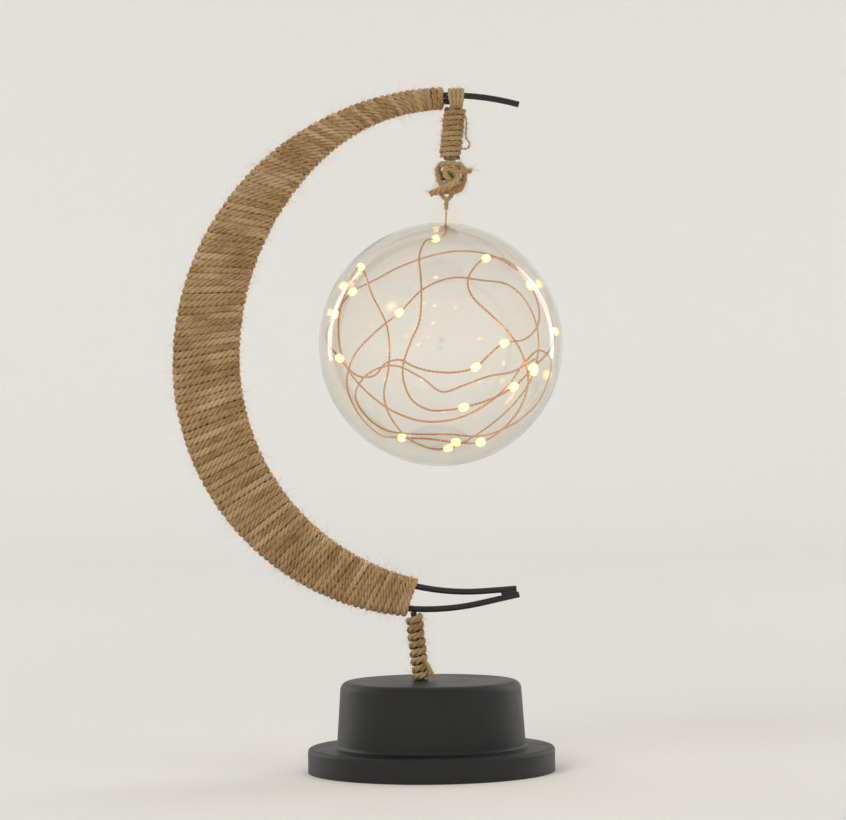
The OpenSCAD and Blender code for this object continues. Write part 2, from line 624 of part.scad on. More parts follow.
module bottom_cover() color(moulding_colour) {
    difference() {
        union() {
            translate([0, 0, cover_inset]) cylinder(r = flange_r - base_wall - cover_gap, h = cover_t);
            round_plate_tray();
        }
        // Opening that the cells pass through, and the recess of the door
        translate([0, 0, cover_inset - eps])
            round_plate(tray_in_l, tray_in_w, cell_z, tray_corner_r - tray_wall);
        translate([-door_l / 2 - cover_gap, -door_w / 2 - cover_gap, cover_inset - eps])
            cube([door_l + 2 * cover_gap, door_w + 2 * cover_gap, door_recess + eps]);
        // Sockets of the door's hinge pins
        for (y = [-1, 1]) translate([door_axis_x, y * (door_w / 2 + cover_gap - 0.2), door_axis_z])
            rotate([-90 * y, 0, 0]) cylinder(d = door_pin_d + 2 * running, h = door_pin_l + 0.2);
        // Thumb notch at the door's free end
        translate([door_l / 2, 0, cover_inset - eps]) intersection() {
            cylinder(r = thumb_r, h = thumb_depth + eps);
            translate([-thumb_r, -thumb_r, 0]) cube([thumb_r + 1.2, 2 * thumb_r, 9]);
        }
        at_screws() {
            translate([0, 0, cover_inset - eps]) cylinder(d = screw_d + 0.4, h = cover_t + 2 * eps);
            translate([0, 0, cover_inset - eps])
                cylinder(d = screw_head_d + 0.6, h = screw_head_h + 0.2 + eps);
        }
        // Inside of the tray
        translate([0, 0, cover_top - eps])
            round_plate(tray_in_l, tray_in_w, tray_top - tray_wall - cover_top + eps,
                tray_corner_r - tray_wall);
    }
    // Ribs between the cells, under the tray's roof
    for (i = [1 : cell_count - 1])
        translate([-tray_in_l / 2 + 8, (i - cell_count / 2) * cell_pitch - 0.6, tray_top - tray_wall - 2.8])
            cube([tray_in_l - 16, 1.2, 3]);
}
module round_plate_tray() {
    translate([0, 0, cover_inset + cover_t / 2])
        round_plate(tray_l, tray_w, tray_top - cover_inset - cover_t / 2, tray_corner_r);
}
module battery_door() color(moulding_colour) {
    difference() {
        union() {
            translate([door_axis_x, -door_w / 2, door_z]) cube([door_l - door_t / 2, door_w, door_t]);
            translate([door_axis_x, -door_w / 2, door_axis_z]) rotate([-90, 0, 0])
                cylinder(d = door_t, h = door_w);
            translate([door_axis_x, -door_w / 2 - door_pin_l, door_axis_z]) rotate([-90, 0, 0])
                cylinder(d = door_pin_d, h = door_w + 2 * door_pin_l);
        }
        // Grip grooves near the free end
        for (i = [0 : 3]) translate([door_l / 2 - 6 - 2.4 * i, -door_w / 6, door_z - eps])
            cube([1, door_w / 3, eps + 0.4]);
    }
}
module cover_screws() color("#8d8f92") {
    at_screws() difference() {
        translate([0, 0, cover_inset + 0.2]) {
            cylinder(d = screw_head_d, h = screw_head_h);
            cylinder(d = screw_d, h = screw_head_h + screw_l);
        }
        for (a = [0, 90]) rotate([0, 0, a])
            translate([-1.3, -0.3, cover_inset]) cube([2.6, 0.6, 0.2 + 0.9]);
    }
}
// One cell, its positive button at the end given by dir
module cell(index, dir) {
    y = (index - (cell_count + 1) / 2) * cell_pitch;
    plus_x = dir * (tray_in_l / 2 - plate_t - touch);
    translate([plus_x, y, cell_z]) rotate([0, -90 * dir, 0]) {
        cylinder(d = button_d, h = button_l + 0.1);
        translate([0, 0, button_l]) {
            color("#b87333") cylinder(d = cell_d, h = 14);
            color("#2b2b2e") translate([0, 0, 14]) cylinder(d = cell_d, h = cell_l - button_l - 14 - 0.5);
            cylinder(d = cell_d - 3, h = cell_l - button_l - touch);
        }
    }
}
module battery_1() color("#2b2b2e") cell(1, 1);
module battery_2() color("#2b2b2e") cell(2, -1);
module battery_3() color("#2b2b2e") cell(3, 1);
module contact_springs() color("#c9ccd0") {
    for (i = [1 : cell_count]) {
        dir = i % 2 == 1 ? 1 : -1;
        y = (i - (cell_count + 1) / 2) * cell_pitch;
        translate([-dir * (tray_in_l / 2 - plate_t - touch), y, cell_z]) rotate([0, 90 * dir, 0])
            contact_spring();
    }
}
// A cone of wire that narrows towards the cell
module contact_spring() {
    rings = 9;
    turns = 3;
    h = spring_l - 3 * touch - spring_wire_d;
    last = rings * turns;
    p = [for (k = [0 : last]) let (r = spring_d / 2 - spring_wire_d / 2 - 1.4 * k / last)
        [r * cos(360 * k / rings), r * sin(360 * k / rings), spring_wire_d / 2 + h * k / last]];
    ups = [for (k = [0 : last]) [cos(360 * k / rings), sin(360 * k / rings), 0]];
    tube(p, ups, spring_wire_d / 2, 4);
}
module contact_plates() color("#d5d2c4") {
    wide = cell_pitch + plate_h;
    for (side = [-1, 1]) {
        // one plate by itself, and one that joins two cells
        contact_plate(side, side * cell_pitch, plate_h);
        contact_plate(side, -side * cell_pitch / 2, wide);
    }
}
module contact_plate(side, y, w) {
    x = side > 0 ? tray_in_l / 2 - plate_t : -tray_in_l / 2 + touch;
    translate([x, y - w / 2, cell_z - plate_h / 2]) cube([plate_t - touch, w, plate_h]);
}
module circuit_board() {
    color("#1f5a36") translate([board_x - board_l / 2, board_y - board_w / 2, board_z])
        cube([board_l, board_w, board_t]);
    // Timer chip and resistor
    color("#222222") translate([board_x + 1, board_y - 3.4, board_z + board_t - 0.1]) cube([5, 4, 1.6]);
    color("#c9a66b") translate([board_x, board_y + 3.2, board_z + board_t + 0.9]) rotate([0, 90, 0])
        cylinder(d = 2, h = 6);
}
module feed_wires() color("#a01818") {
    // From the tray to the switch, and from the switch to the board
    for (x = [-1, 1]) {
        y = panel_y - switch_depth - 4.6;
        translate([x * 3, y, switch_z]) rotate([90, 0, 0]) cylinder(d = 1.2, h = 3);
        translate([x * 3, y - 3, switch_z]) sphere(d = 1.2);
        translate([x * 3, y - 3, tray_top + touch + 0.6])
            cylinder(d = 1.2, h = switch_z - tray_top - touch - 0.6);
        translate([x * 3, y - 3, tray_top + touch + 0.6]) sphere(d = 1.2);
    }
}
module switch_body() color("#1c1c1e") {
    difference() {
        union() {
            translate([-bezel_w / 2, panel_y + touch, switch_z - bezel_h / 2])
                cube([bezel_w, bezel_t, bezel_h]);
            translate([-switch_w / 2, panel_y + touch - switch_depth, switch_z - switch_h / 2])
                cube([switch_w, switch_depth + 0.1, switch_h]);
            for (x = [-1, 1]) translate([x * 3 - 1.4, panel_y - switch_depth - 4.5, switch_z - 0.3])
                cube([2.8, 5, 0.6]);
        }
        // Well of the rocker
        translate([-rocker_w / 2 - 0.35, rocker_axis_y - 3.4, switch_z - rocker_h / 2 - 0.2])
            cube([rocker_w + 0.7, 12, rocker_h + 0.4]);
        translate([0, rocker_axis_y, switch_z - rocker_h / 2 - rocker_pin_l - 0.1])
            cylinder(d = rocker_pin_d + 2 * running, h = rocker_h + 2 * rocker_pin_l + 0.2);
    }
}
module switch_rocker() color("#0d0d0e") {
    tip = rocker_w / 2 * tan(rocker_tilt);
    translate([0, rocker_axis_y, switch_z]) rotate([0, 0, -rocker_tilt]) {
        translate([0, 0, -rocker_h / 2]) linear_extrude(rocker_h)
            polygon([[-rocker_w / 2 + 0.3, -1.2], [-rocker_w / 2, 2.2 - tip], [-0.3, 2.2],
                [0.3, 2.2], [rocker_w / 2, 2.2 - tip], [rocker_w / 2 - 0.3, -1.2]]);
        translate([0, 0, -rocker_h / 2 - rocker_pin_l])
            cylinder(d = rocker_pin_d, h = rocker_h + 2 * rocker_pin_l);
    }
}

// ======== Stem ========
module stem_rod() color(iron_colour) {
    in_stem_frame() {
        translate([0, 0, -seat_t - washer_t - nut_h - 2])
            cylinder(d = wire_d, h = seat_t + washer_t + nut_h + 2 + stem_l - wire_r - touch);
        difference() {
            translate([0, 0, -0.5 + touch]) cylinder(d = collar_d, h = collar_t);
            translate([-lead_r - 0.15, lead_beside - lead_r - 0.1, -eps]) cube([lead_d + 0.3, 5, 4]);
        }
    }
}
module stem_washer() color("#b9bcc0") {
    in_stem_frame() difference() {
        translate([0, 0, -seat_t - washer_t - touch]) cylinder(d = washer_d, h = washer_t);
        translate([0, 0, -seat_t - washer_t - eps]) cylinder(d = wire_d + 0.2, h = washer_t + 2 * eps);
        translate([-lead_r - 0.2, lead_out_y - lead_r - 0.2, -seat_t - washer_t - eps])
            cube([lead_d + 0.4, washer_d, washer_t + 2 * eps]);
    }
}
module stem_nut() color("#b9bcc0") {
    in_stem_frame() difference() {
        translate([0, 0, -seat_t - washer_t - nut_h - 2 * touch]) rotate([0, 0, 0])
            cylinder(d = nut_af / cos(30), h = nut_h, $fn = 6);
        translate([0, 0, -seat_t - washer_t - nut_h - eps])
            cylinder(d = wire_d + 2 * running, h = nut_h + 2 * eps);
    }
}
module stem_wrap() color(twine_colour) {
    low = collar_t + stem_twine_r;
    high = stem_l - wire_r - stem_twine_r - 1.2;
    in_stem_frame() translate([0, stem_wrap_shift, low])
        winding(stem_wrap_r, (high - low) / stem_turns, stem_turns, stem_twine_r, 10);
}

// ======== Crescent ========
module outer_arc_wire() color(iron_colour) {
    arc_of_wire(outer_upper_c, outer_upper_r, 90 - upper_tip_angle, 180 - joint_turn, wire_d);
    wire_joint(outer_left);
    arc_of_wire(outer_lower_c, outer_lower_r, 180 + joint_turn, 270 + lower_tip_angle - joint_turn, wire_d);
    wire_joint(tip_start);
    bar_between(in_plane(tip_start + joint_l * tip_dir, 0), in_plane(tip_end, 0), wire_d);
}
module inner_arc_wire() color(iron_colour) {
    straight_from = inner_lower_c + inner_lower_r * [sin(inner_tip_angle), -cos(inner_tip_angle)];
    straight_dir = [cos(inner_tip_angle), sin(inner_tip_angle)];
    arc_of_wire(close_c, close_r, close_end, 180 - inner_upper_sweep - joint_turn, wire_d);
    wire_joint(close_from);
    arc_of_wire(inner_upper_c, inner_upper_r, 180 - inner_upper_sweep + joint_turn, 180 - joint_turn, wire_d);
    wire_joint(inner_left);
    arc_of_wire(inner_lower_c, inner_lower_r, 180 + joint_turn, 270 + inner_tip_angle - joint_turn, wire_d);
    wire_joint(straight_from);
    bar_between(in_plane(straight_from + joint_l * straight_dir, 0), in_plane(inner_tip, 0), wire_d);
}
module arc_spacers() color(iron_colour) {
    y = lead_y - lead_r - 0.07 - spacer_d / 2;
    for (i = [0 : spacer_count - 1]) {
        a = (i - (spacer_count - 1) / 2) * spacer_step;
        w = unit(inner_at(a) - outer_at(a));
        bar_between(in_plane(outer_at(a) + (wire_r + touch) * w, y),
            in_plane(inner_at(a) - (wire_r + touch) * w, y), spacer_d);
    }
}
module crescent_wrap() color(twine_colour) {
    rings = [for (k = [0 : wrap_rings]) wrap_ring(k)];
    p = [for (ring = rings) ring[0]];
    echo(least_gap_of_crescent_wrap = least_gap(p, twine_r, 3, 3 * rings_per_turn));
    tube(p, [for (ring = rings) ring[1]], twine_r, wrap_sides);
}
module lead_wire() color("#b4672e") {
    tube(lead_points, [for (p = lead_points) [0.3, 1, 0.1]], lead_r, 6);
}

// ======== Hanger ========
module hanger_core() color(twine_colour) {
    // Eye round the frame's wires
    translate([eye_x, 0, eye_z]) rotate([90, 0, 90]) rotate_extrude(angle = 180)
        translate([eye_r + hanger_r, 0]) circle(hanger_r);
    for (y = [-1, 1]) {
        turn = [eye_x, y * (eye_r + hanger_r), eye_z - bundle_drop + 0.7];
        foot = [bundle_top[0] - 0.1, y * (core_d / 2 - 1.1), bundle_top[2] - 1];
        bar_between([eye_x, turn[1], eye_z], turn, hanger_twine_d);
        translate(turn) sphere(d = hanger_twine_d + 0.02);
        bar_between(turn, foot, hanger_twine_d);
    }
    in_bundle_frame() translate([0, 0, -bundle_l]) {
        cylinder(d = core_d, h = bundle_l - 0.6);
        translate([0, 0, bundle_l - 0.6]) cylinder(d1 = core_d, d2 = core_d - 1.2, h = 0.6);
    }
    // Strands that run on into the knot, on which it turns
    translate([knot_x, 0, knot_top - neck_l]) cylinder(d = neck_d, h = neck_l + knot_gap + 2);
}
module hanger_wrap() color(twine_colour) {
    in_bundle_frame() translate([0, 0, -bundle_l + bundle_end_l + hanger_r])
        winding(bundle_wrap_r, bundle_pitch, bundle_turns, hanger_r, 10);
}
module hanger_knot() color(twine_colour) {
    rope_r = knot_rope_d / 2;
    step = (knot_h - knot_rope_d) / 2;
    difference() {
        translate([knot_x, 0, knot_bottom + rope_r]) {
            for (i = [0 : 2]) translate([0, 0, i * step]) rotate([0, [8, -10, 9][i], 0])
                rotate_extrude() translate([knot_r - (i == 1 ? 0 : 0.5), 0]) circle(rope_r - 0.3);
            cylinder(r = knot_r, h = 2 * step);
        }
        translate([knot_x, 0, knot_top - neck_l - 0.1]) cylinder(d = neck_d + 2 * running, h = knot_h);
        for (y = [-1, 1]) translate([loop_x, y * loop_r, knot_bottom - 2])
            cylinder(r = hanger_r + touch, h = 2 + loop_in + 0.1);
    }
}
module hanging_loop() color(twine_colour) {
    // A bend under the lug's top and two legs up into the knot
    translate([loop_x, 0, loop_low + loop_r]) {
        rotate([90, 0, 90]) rotate([0, 0, 180]) rotate_extrude(angle = 180)
            translate([loop_r, 0]) circle(hanger_r);
        for (y = [-1, 1]) translate([0, y * loop_r, 0])
            cylinder(r = hanger_r, h = knot_bottom + loop_in - loop_low - loop_r);
    }
}

// ======== Ball ========
// One half's shell, turned about the Y axis on the side given by dir (-1 front, 1 back)
module half_shell(dir) {
    rotate([-90 * dir, 0, 0]) rotate_extrude() {
        intersection() {
            difference() {
                circle(ball_r);
                circle(ball_in);
            }
            translate([0, dir < 0 ? touch : 0]) square(ball_r + 1);
        }
        if (dir > 0) {
            // Lip that enters the front half
            intersection() {
                difference() {
                    circle(ball_in - lip_gap);
                    circle(ball_in - lip_gap - lip_t);
                }
                translate([0, -lip_l]) square([ball_r, lip_l + 1]);
            }
            translate([ball_in - lip_gap - lip_t, 0.02]) square([lip_gap + lip_t + ball_wall / 2, 0.9]);
        }
    }
}
module ball_half(dir) {
    difference() {
        union() {
            half_shell(dir);
            rotate([90, 0, 0]) translate([0, 0, dir < 0 ? touch : -lug_t / 2])
                linear_extrude(lug_t / 2 - (dir < 0 ? touch : 0)) lug_outline();
        }
        translate([0, lug_t, ball_r + lug_hole_rise]) rotate([90, 0, 0])
            cylinder(d = lug_hole_d, h = 2 * lug_t);
        translate([0, feed_hole_y, ball_in - 3]) cylinder(d = feed_hole_d, h = 8);
    }
}
module lug_outline() {
    difference() {
        hull() {
            translate([0, ball_r + lug_hole_rise]) circle(lug_hole_r + lug_rim, $fn = 48);
            translate([-lug_w / 2, ball_r - 2.2]) square([lug_w, 1]);
        }
        circle(ball_in + ball_wall / 2);
    }
}
module ball_front_half() color("#f4ead6", 0.35) in_ball_frame() ball_half(-1);
module ball_rear_half() color("#f4ead6", 0.35) in_ball_frame() ball_half(1);
module led_wire() color("#b4672e") {
    check = along([for (row = LED_ROUTE) led_point(row)], 8);
    echo(least_gap_of_led_wire = least_gap(check, led_wire_r, 12, len(check)));
    in_ball_frame() tube(led_points, [for (p = led_points) unit(p + [0.01, 0.02, 0])], led_wire_r, led_sides);
}
module led_beads() color("#ffdf9a") {
    in_ball_frame() for (row = LED_ROUTE) if (row[4] == 1)
        translate(led_point(row)) sphere(d = led_bead_d);
}

base_housing();
bottom_cover();
battery_door();
cover_screws();
battery_1();
battery_2();
battery_3();
contact_springs();
contact_plates();
circuit_board();
feed_wires();
switch_body();
switch_rocker();
stem_rod();
stem_washer();
stem_nut();
stem_wrap();
outer_arc_wire();
inner_arc_wire();
arc_spacers();
crescent_wrap();
lead_wire();
hanger_core();
hanger_wrap();
hanger_knot();
hanging_loop();
ball_front_half();
ball_rear_half();
led_wire();
led_beads();
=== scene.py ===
"""Moon lamp: the looks of a twine-wound crescent, the clear ball of lights that hangs in it, and its base.

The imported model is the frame, and every piece rides on one of its bodies. Sizes are millimetres in the
model's axes, as in the part's source, and a mesh is turned to metres when it is made. Only the studio is in
metres.
"""

import logging
import math
from collections.abc import Callable, Sequence
from dataclasses import dataclass
from enum import Enum
from functools import cache

import bpy
import numpy as np
from mathutils import Matrix, Vector

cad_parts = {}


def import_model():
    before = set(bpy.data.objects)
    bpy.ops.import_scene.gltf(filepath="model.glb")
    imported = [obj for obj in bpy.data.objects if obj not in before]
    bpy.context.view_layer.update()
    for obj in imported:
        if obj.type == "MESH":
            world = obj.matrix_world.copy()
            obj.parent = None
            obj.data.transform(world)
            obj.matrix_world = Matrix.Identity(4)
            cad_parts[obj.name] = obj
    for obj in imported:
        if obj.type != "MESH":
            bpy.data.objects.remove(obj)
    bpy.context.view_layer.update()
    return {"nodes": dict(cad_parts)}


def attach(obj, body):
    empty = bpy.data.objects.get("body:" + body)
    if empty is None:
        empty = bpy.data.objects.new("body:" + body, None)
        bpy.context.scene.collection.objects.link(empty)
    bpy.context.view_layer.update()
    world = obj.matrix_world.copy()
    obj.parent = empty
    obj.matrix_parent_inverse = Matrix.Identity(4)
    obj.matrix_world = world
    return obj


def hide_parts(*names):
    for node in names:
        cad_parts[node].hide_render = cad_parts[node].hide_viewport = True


log = logging.getLogger("moon_lamp")
MM = 0.001
PER_METRE = 1000.0  # a pattern's scale is this over its size in mm
TAU = 2 * math.pi
UP = np.array([0.0, 0.0, 1.0])
BACK = np.array([0.0, 1.0, 0.0])


class Body(Enum):
    """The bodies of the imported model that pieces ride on."""

    STAND = "stand"
    ROCKER = "rocker"
    HANGER = "hanger"
    KNOT = "knot"
    BALL = "ball"


# ---------------------------------------------------------------- materials

# A Mix node's inputs and output for colours, by number, because those for other data have the same names
FACTOR, FIRST, SECOND, MIXED = 0, 6, 7, 2


def linear(colour: str, alpha: float = 1.0) -> tuple[float, float, float, float]:
    """Turns an sRGB hex colour into Blender's linear colour.

    Args:
        colour: the colour as "#rrggbb".
        alpha: the fourth value, as it is.

    Returns:
        Linear red, green, blue, and alpha.
    """
    parts = [int(colour[i : i + 2], 16) / 255 for i in (1, 3, 5)]
    r, g, b = (c / 12.92 if c <= 0.04045 else ((c + 0.055) / 1.055) ** 2.4 for c in parts)
    return r, g, b, alpha


def add(
    tree: bpy.types.NodeTree,
    kind: str,
    settings: dict[str, object] | None = None,
    inputs: dict[str | int, object] | None = None,
) -> bpy.types.Node:
    """Adds a node with its settings and links.

    Args:
        tree: the node tree.
        kind: the node's type name.
        settings: properties of the node and their values.
        inputs: for an input, by name or number, the value to set or the socket to link.

    Returns:
        The new node.
    """
    node = tree.nodes.new(kind)
    for name, value in (settings or {}).items():
        setattr(node, name, value)
    for name, value in (inputs or {}).items():
        if isinstance(value, bpy.types.NodeSocket):
            tree.links.new(value, node.inputs[name])
        else:
            node.inputs[name].default_value = value
    return node


@dataclass(frozen=True)
class Finish:
    """A finish, which gives a material of its own name."""

    name: str

    def surface(self, tree: bpy.types.NodeTree) -> bpy.types.NodeSocket:
        """Builds the shader in a material's node tree and returns its output."""
        raise NotImplementedError

    @cache
    def make(self) -> bpy.types.Material:
        """Returns the material, made once and then shared."""
        material = bpy.data.materials.new(self.name)
        material.use_nodes = True
        tree = material.node_tree
        tree.nodes.clear()
        add(tree, "ShaderNodeOutputMaterial", inputs={"Surface": self.surface(tree)})
        return material


@dataclass(frozen=True)
class JuteTwine(Finish):
    """Natural jute, spun and laid in three plies: dull straw gold, streaked along its coarse fibres."""

    straw: str = "#b5905f"
    dark: str = "#755736"
    pale: str = "#dcc297"
    sheen: str = "#ecd9b0"
    fibre: float = 0.45  # width in mm: a jute fibre is about 0.05 mm, drawn as wide as shows in the render
    fibre_run: float = 5.0  # length of a streak in mm
    patch: float = 34.0  # length in mm over which the tone changes
    lean: float = 24.0  # the yarn's own twist, in degrees
    bump: float = 0.25  # height of the fibres in mm, drawn as deep as shows

    def surface(self, tree: bpy.types.NodeTree) -> bpy.types.NodeSocket:
        """Streaks and lighter lengths follow the strand's own map, in mm.

        Args:
            tree: the material's node tree.

        Returns:
            The shader's output.
        """
        lay = add(tree, "ShaderNodeUVMap", {"uv_map": "lay"})
        along = add(
            tree,
            "ShaderNodeMapping",
            inputs={
                "Vector": lay.outputs["UV"],
                "Rotation": (0, 0, math.radians(self.lean)),
                "Scale": (1 / self.fibre_run, 1 / self.fibre, 1),
            },
        )
        fibres = add(
            tree,
            "ShaderNodeTexNoise",
            inputs={"Vector": along.outputs["Vector"], "Scale": 1.0, "Detail": 3.0, "Roughness": 0.65},
        )
        length = add(tree, "ShaderNodeSeparateXYZ", inputs={"Vector": lay.outputs["UV"]})
        patches = add(
            tree,
            "ShaderNodeTexNoise",
            {"noise_dimensions": "1D"},
            {"W": length.outputs["X"], "Scale": 1 / self.patch, "Detail": 2.0},
        )
        share = add(
            tree,
            "ShaderNodeMapRange",
            inputs={"Value": fibres.outputs["Fac"], "From Min": 0.36, "From Max": 0.6},
        )
        light = add(
            tree,
            "ShaderNodeMapRange",
            inputs={"Value": patches.outputs["Fac"], "From Min": 0.38, "From Max": 1.0},
        )
        body = add(
            tree,
            "ShaderNodeMix",
            {"data_type": "RGBA"},
            {FACTOR: share.outputs["Result"], FIRST: linear(self.dark), SECOND: linear(self.straw)},
        )
        tone = add(
            tree,
            "ShaderNodeMix",
            {"data_type": "RGBA"},
            {FACTOR: light.outputs["Result"], FIRST: body.outputs[MIXED], SECOND: linear(self.pale)},
        )
        bump = add(
            tree,
            "ShaderNodeBump",
            inputs={"Height": fibres.outputs["Fac"], "Strength": 0.8, "Distance": self.bump * MM},
        )
        return add(
            tree,
            "ShaderNodeBsdfPrincipled",
            inputs={
                "Base Color": tone.outputs[MIXED],
                "Roughness": 0.88,
                "Sheen Weight": 0.2,
                "Sheen Roughness": 0.6,
                "Sheen Tint": linear(self.sheen),
                "Normal": bump.outputs["Normal"],
            },
        ).outputs["BSDF"]


@dataclass(frozen=True)
class JuteFibre(Finish):
    """Loose jute fibres, each too fine to show a surface: paler, and glossy where light rakes them."""

    straw: str = "#c39b64"
    pale: str = "#e3cb9c"
    patch: float = 2.5  # distance in mm over which the tone changes

    def surface(self, tree: bpy.types.NodeTree) -> bpy.types.NodeSocket:
        """The tone changes from fibre to fibre with its place.

        Args:
            tree: the material's node tree.

        Returns:
            The shader's output.
        """
        place = add(tree, "ShaderNodeTexCoord")
        tone = add(
            tree,
            "ShaderNodeTexNoise",
            inputs={"Vector": place.outputs["Object"], "Scale": PER_METRE / self.patch, "Detail": 0.0},
        )
        colour = add(
            tree,
            "ShaderNodeMix",
            {"data_type": "RGBA"},
            {FACTOR: tone.outputs["Fac"], FIRST: linear(self.straw), SECOND: linear(self.pale)},
        )
        return add(
            tree,
            "ShaderNodeBsdfPrincipled",
            inputs={"Base Color": colour.outputs[MIXED], "Roughness": 0.6, "Sheen Weight": 0.1},
        ).outputs["BSDF"]


@dataclass(frozen=True)
class Coated(Finish):
    """A moulded or coated surface: one colour, broken by fine grain and by slightly shinier patches."""

    colour: str
    roughness: float
    grain: float  # size of the grain in mm
    depth: float  # height of the grain in mm
    metallic: float = 0.0
    patch: float = 22.0  # size of the shinier patches in mm
    spread: float = 0.06  # how far the roughness changes to each side
    coat: float = 0.0  # weight of a clear coat

    def surface(self, tree: bpy.types.NodeTree) -> bpy.types.NodeSocket:
        """Grain as a bump, patches in the roughness.

        Args:
            tree: the material's node tree.

        Returns:
            The shader's output.
        """
        place = add(tree, "ShaderNodeTexCoord")
        grain = add(
            tree,
            "ShaderNodeTexNoise",
            inputs={
                "Vector": place.outputs["Object"],
                "Scale": PER_METRE / self.grain,
                "Detail": 2.0,
                "Roughness": 0.6,
            },
        )
        patches = add(
            tree,
            "ShaderNodeTexNoise",
            inputs={"Vector": place.outputs["Object"], "Scale": PER_METRE / self.patch, "Detail": 3.0},
        )
        gloss = add(
            tree,
            "ShaderNodeMapRange",
            inputs={
                "Value": patches.outputs["Fac"],
                "From Min": 0.3,
                "From Max": 0.7,
                "To Min": self.roughness - self.spread,
                "To Max": self.roughness + self.spread,
            },
        )
        bump = add(
            tree,
            "ShaderNodeBump",
            inputs={"Height": grain.outputs["Fac"], "Strength": 0.6, "Distance": self.depth * MM},
        )
        return add(
            tree,
            "ShaderNodeBsdfPrincipled",
            inputs={
                "Base Color": linear(self.colour),
                "Metallic": self.metallic,
                "Roughness": gloss.outputs["Result"],
                "Coat Weight": self.coat,
                "Coat Roughness": 0.15,
                "Normal": bump.outputs["Normal"],
            },
        ).outputs["BSDF"]


@dataclass(frozen=True)
class ClearStyrene(Finish):
    """Moulded clear polystyrene: water-clear and glossy, with the faint ripple of the mould's flow."""

    tint: str = "#fffdf8"
    edge: str = "#c9c4b4"  # where the eye looks along the wall: partly the longer path through the plastic, and mostly painted shade that darkens and outlines the rim
    shadow: str = "#f6f4ee"
    ior: float = 1.57
    ripple: float = 26.0  # length of the ripple in mm
    depth: float = 0.25  # height of the ripple in mm

    def surface(self, tree: bpy.types.NodeTree) -> bpy.types.NodeSocket:
        """Clear plastic that lets the lamps' light through to what is inside it.

        Args:
            tree: the material's node tree.

        Returns:
            The shader's output.
        """
        place = add(tree, "ShaderNodeTexCoord")
        ripple = add(
            tree,
            "ShaderNodeTexNoise",
            inputs={"Vector": place.outputs["Object"], "Scale": PER_METRE / self.ripple, "Detail": 1.0},
        )
        bump = add(
            tree,
            "ShaderNodeBump",
            inputs={"Height": ripple.outputs["Fac"], "Strength": 0.35, "Distance": self.depth * MM},
        )
        # painted shade: the colour turns to the grey edge tone towards the silhouette, by view angle, so the
        # ball's rim shows dark
        painted_rim_shade = add(tree, "ShaderNodeLayerWeight", inputs={"Blend": 0.18})
        colour = add(
            tree,
            "ShaderNodeMix",
            {"data_type": "RGBA"},
            {FACTOR: painted_rim_shade.outputs["Facing"], FIRST: linear(self.tint), SECOND: linear(self.edge)},
        )
        clear = add(
            tree,
            "ShaderNodeBsdfPrincipled",
            inputs={
                "Base Color": colour.outputs[MIXED],
                "Roughness": 0.02,
                "IOR": self.ior,
                "Transmission Weight": 1.0,
                "Normal": bump.outputs["Normal"],
            },
        )
        through = add(tree, "ShaderNodeBsdfTransparent", inputs={"Color": linear(self.shadow)})
        ray = add(tree, "ShaderNodeLightPath")
        return add(
            tree,
            "ShaderNodeMixShader",
            inputs={0: ray.outputs["Is Shadow Ray"], 1: clear.outputs["BSDF"], 2: through.outputs["BSDF"]},
        ).outputs["Shader"]


@dataclass(frozen=True)
class GlowingResin(Finish):
    """Cast resin round a lit warm white chip: the drop glows gold, and the chip shows white through it."""

    body: str = "#ffe3b0"
    glow: str = "#ffc266"
    strength: float = 3.4
    clear: float = 0.35  # how much of what is behind shows through

    def surface(self, tree: bpy.types.NodeTree) -> bpy.types.NodeSocket:
        """Glossy resin that gives off light and lets some through.

        Args:
            tree: the material's node tree.

        Returns:
            The shader's output.
        """
        drop = add(
            tree,
            "ShaderNodeBsdfPrincipled",
            inputs={
                "Base Color": linear(self.body),
                "Roughness": 0.12,
                "Emission Color": linear(self.glow),
                "Emission Strength": self.strength,
            },
        )
        through = add(tree, "ShaderNodeBsdfTransparent")
        return add(
            tree,
            "ShaderNodeMixShader",
            inputs={0: self.clear, 1: drop.outputs["BSDF"], 2: through.outputs["BSDF"]},
        ).outputs["Shader"]


@dataclass(frozen=True)
class LitPhosphor(Finish):
    """The lit phosphor of a light chip: too bright to show a colour of its own."""

    glow: str = "#ffe2b0"
    strength: float = 700.0

    def surface(self, tree: bpy.types.NodeTree) -> bpy.types.NodeSocket:
        """Plain emission.

        Args:
            tree: the material's node tree.

        Returns:
            The shader's output.
        """
        return add(
            tree, "ShaderNodeEmission", inputs={"Color": linear(self.glow), "Strength": self.strength}
        ).outputs["Emission"]


@dataclass(frozen=True)
class CellWrap(Finish):
    """The shrink wrap of a dry cell: gloss black with a copper-coloured end."""

    split: float  # where the tones meet along X, in mm
    copper_right: bool  # whether the copper-coloured end lies towards +X
    black: str = "#1d1d20"
    copper: str = "#b8743c"

    def surface(self, tree: bpy.types.NodeTree) -> bpy.types.NodeSocket:
        """Two tones of gloss wrap.

        Args:
            tree: the material's node tree.

        Returns:
            The shader's output.
        """
        place = add(tree, "ShaderNodeTexCoord")
        axes = add(tree, "ShaderNodeSeparateXYZ", inputs={"Vector": place.outputs["Object"]})
        right = add(
            tree, "ShaderNodeMath", {"operation": "GREATER_THAN"}, {0: axes.outputs["X"], 1: self.split * MM}
        )
        ends = (linear(self.black), linear(self.copper))
        colour = add(
            tree,
            "ShaderNodeMix",
            {"data_type": "RGBA"},
            {FACTOR: right.outputs[0], FIRST: ends[not self.copper_right], SECOND: ends[self.copper_right]},
        )
        return add(
            tree,
            "ShaderNodeBsdfPrincipled",
            inputs={"Base Color": colour.outputs[MIXED], "Metallic": 0.4, "Roughness": 0.28},
        ).outputs["BSDF"]


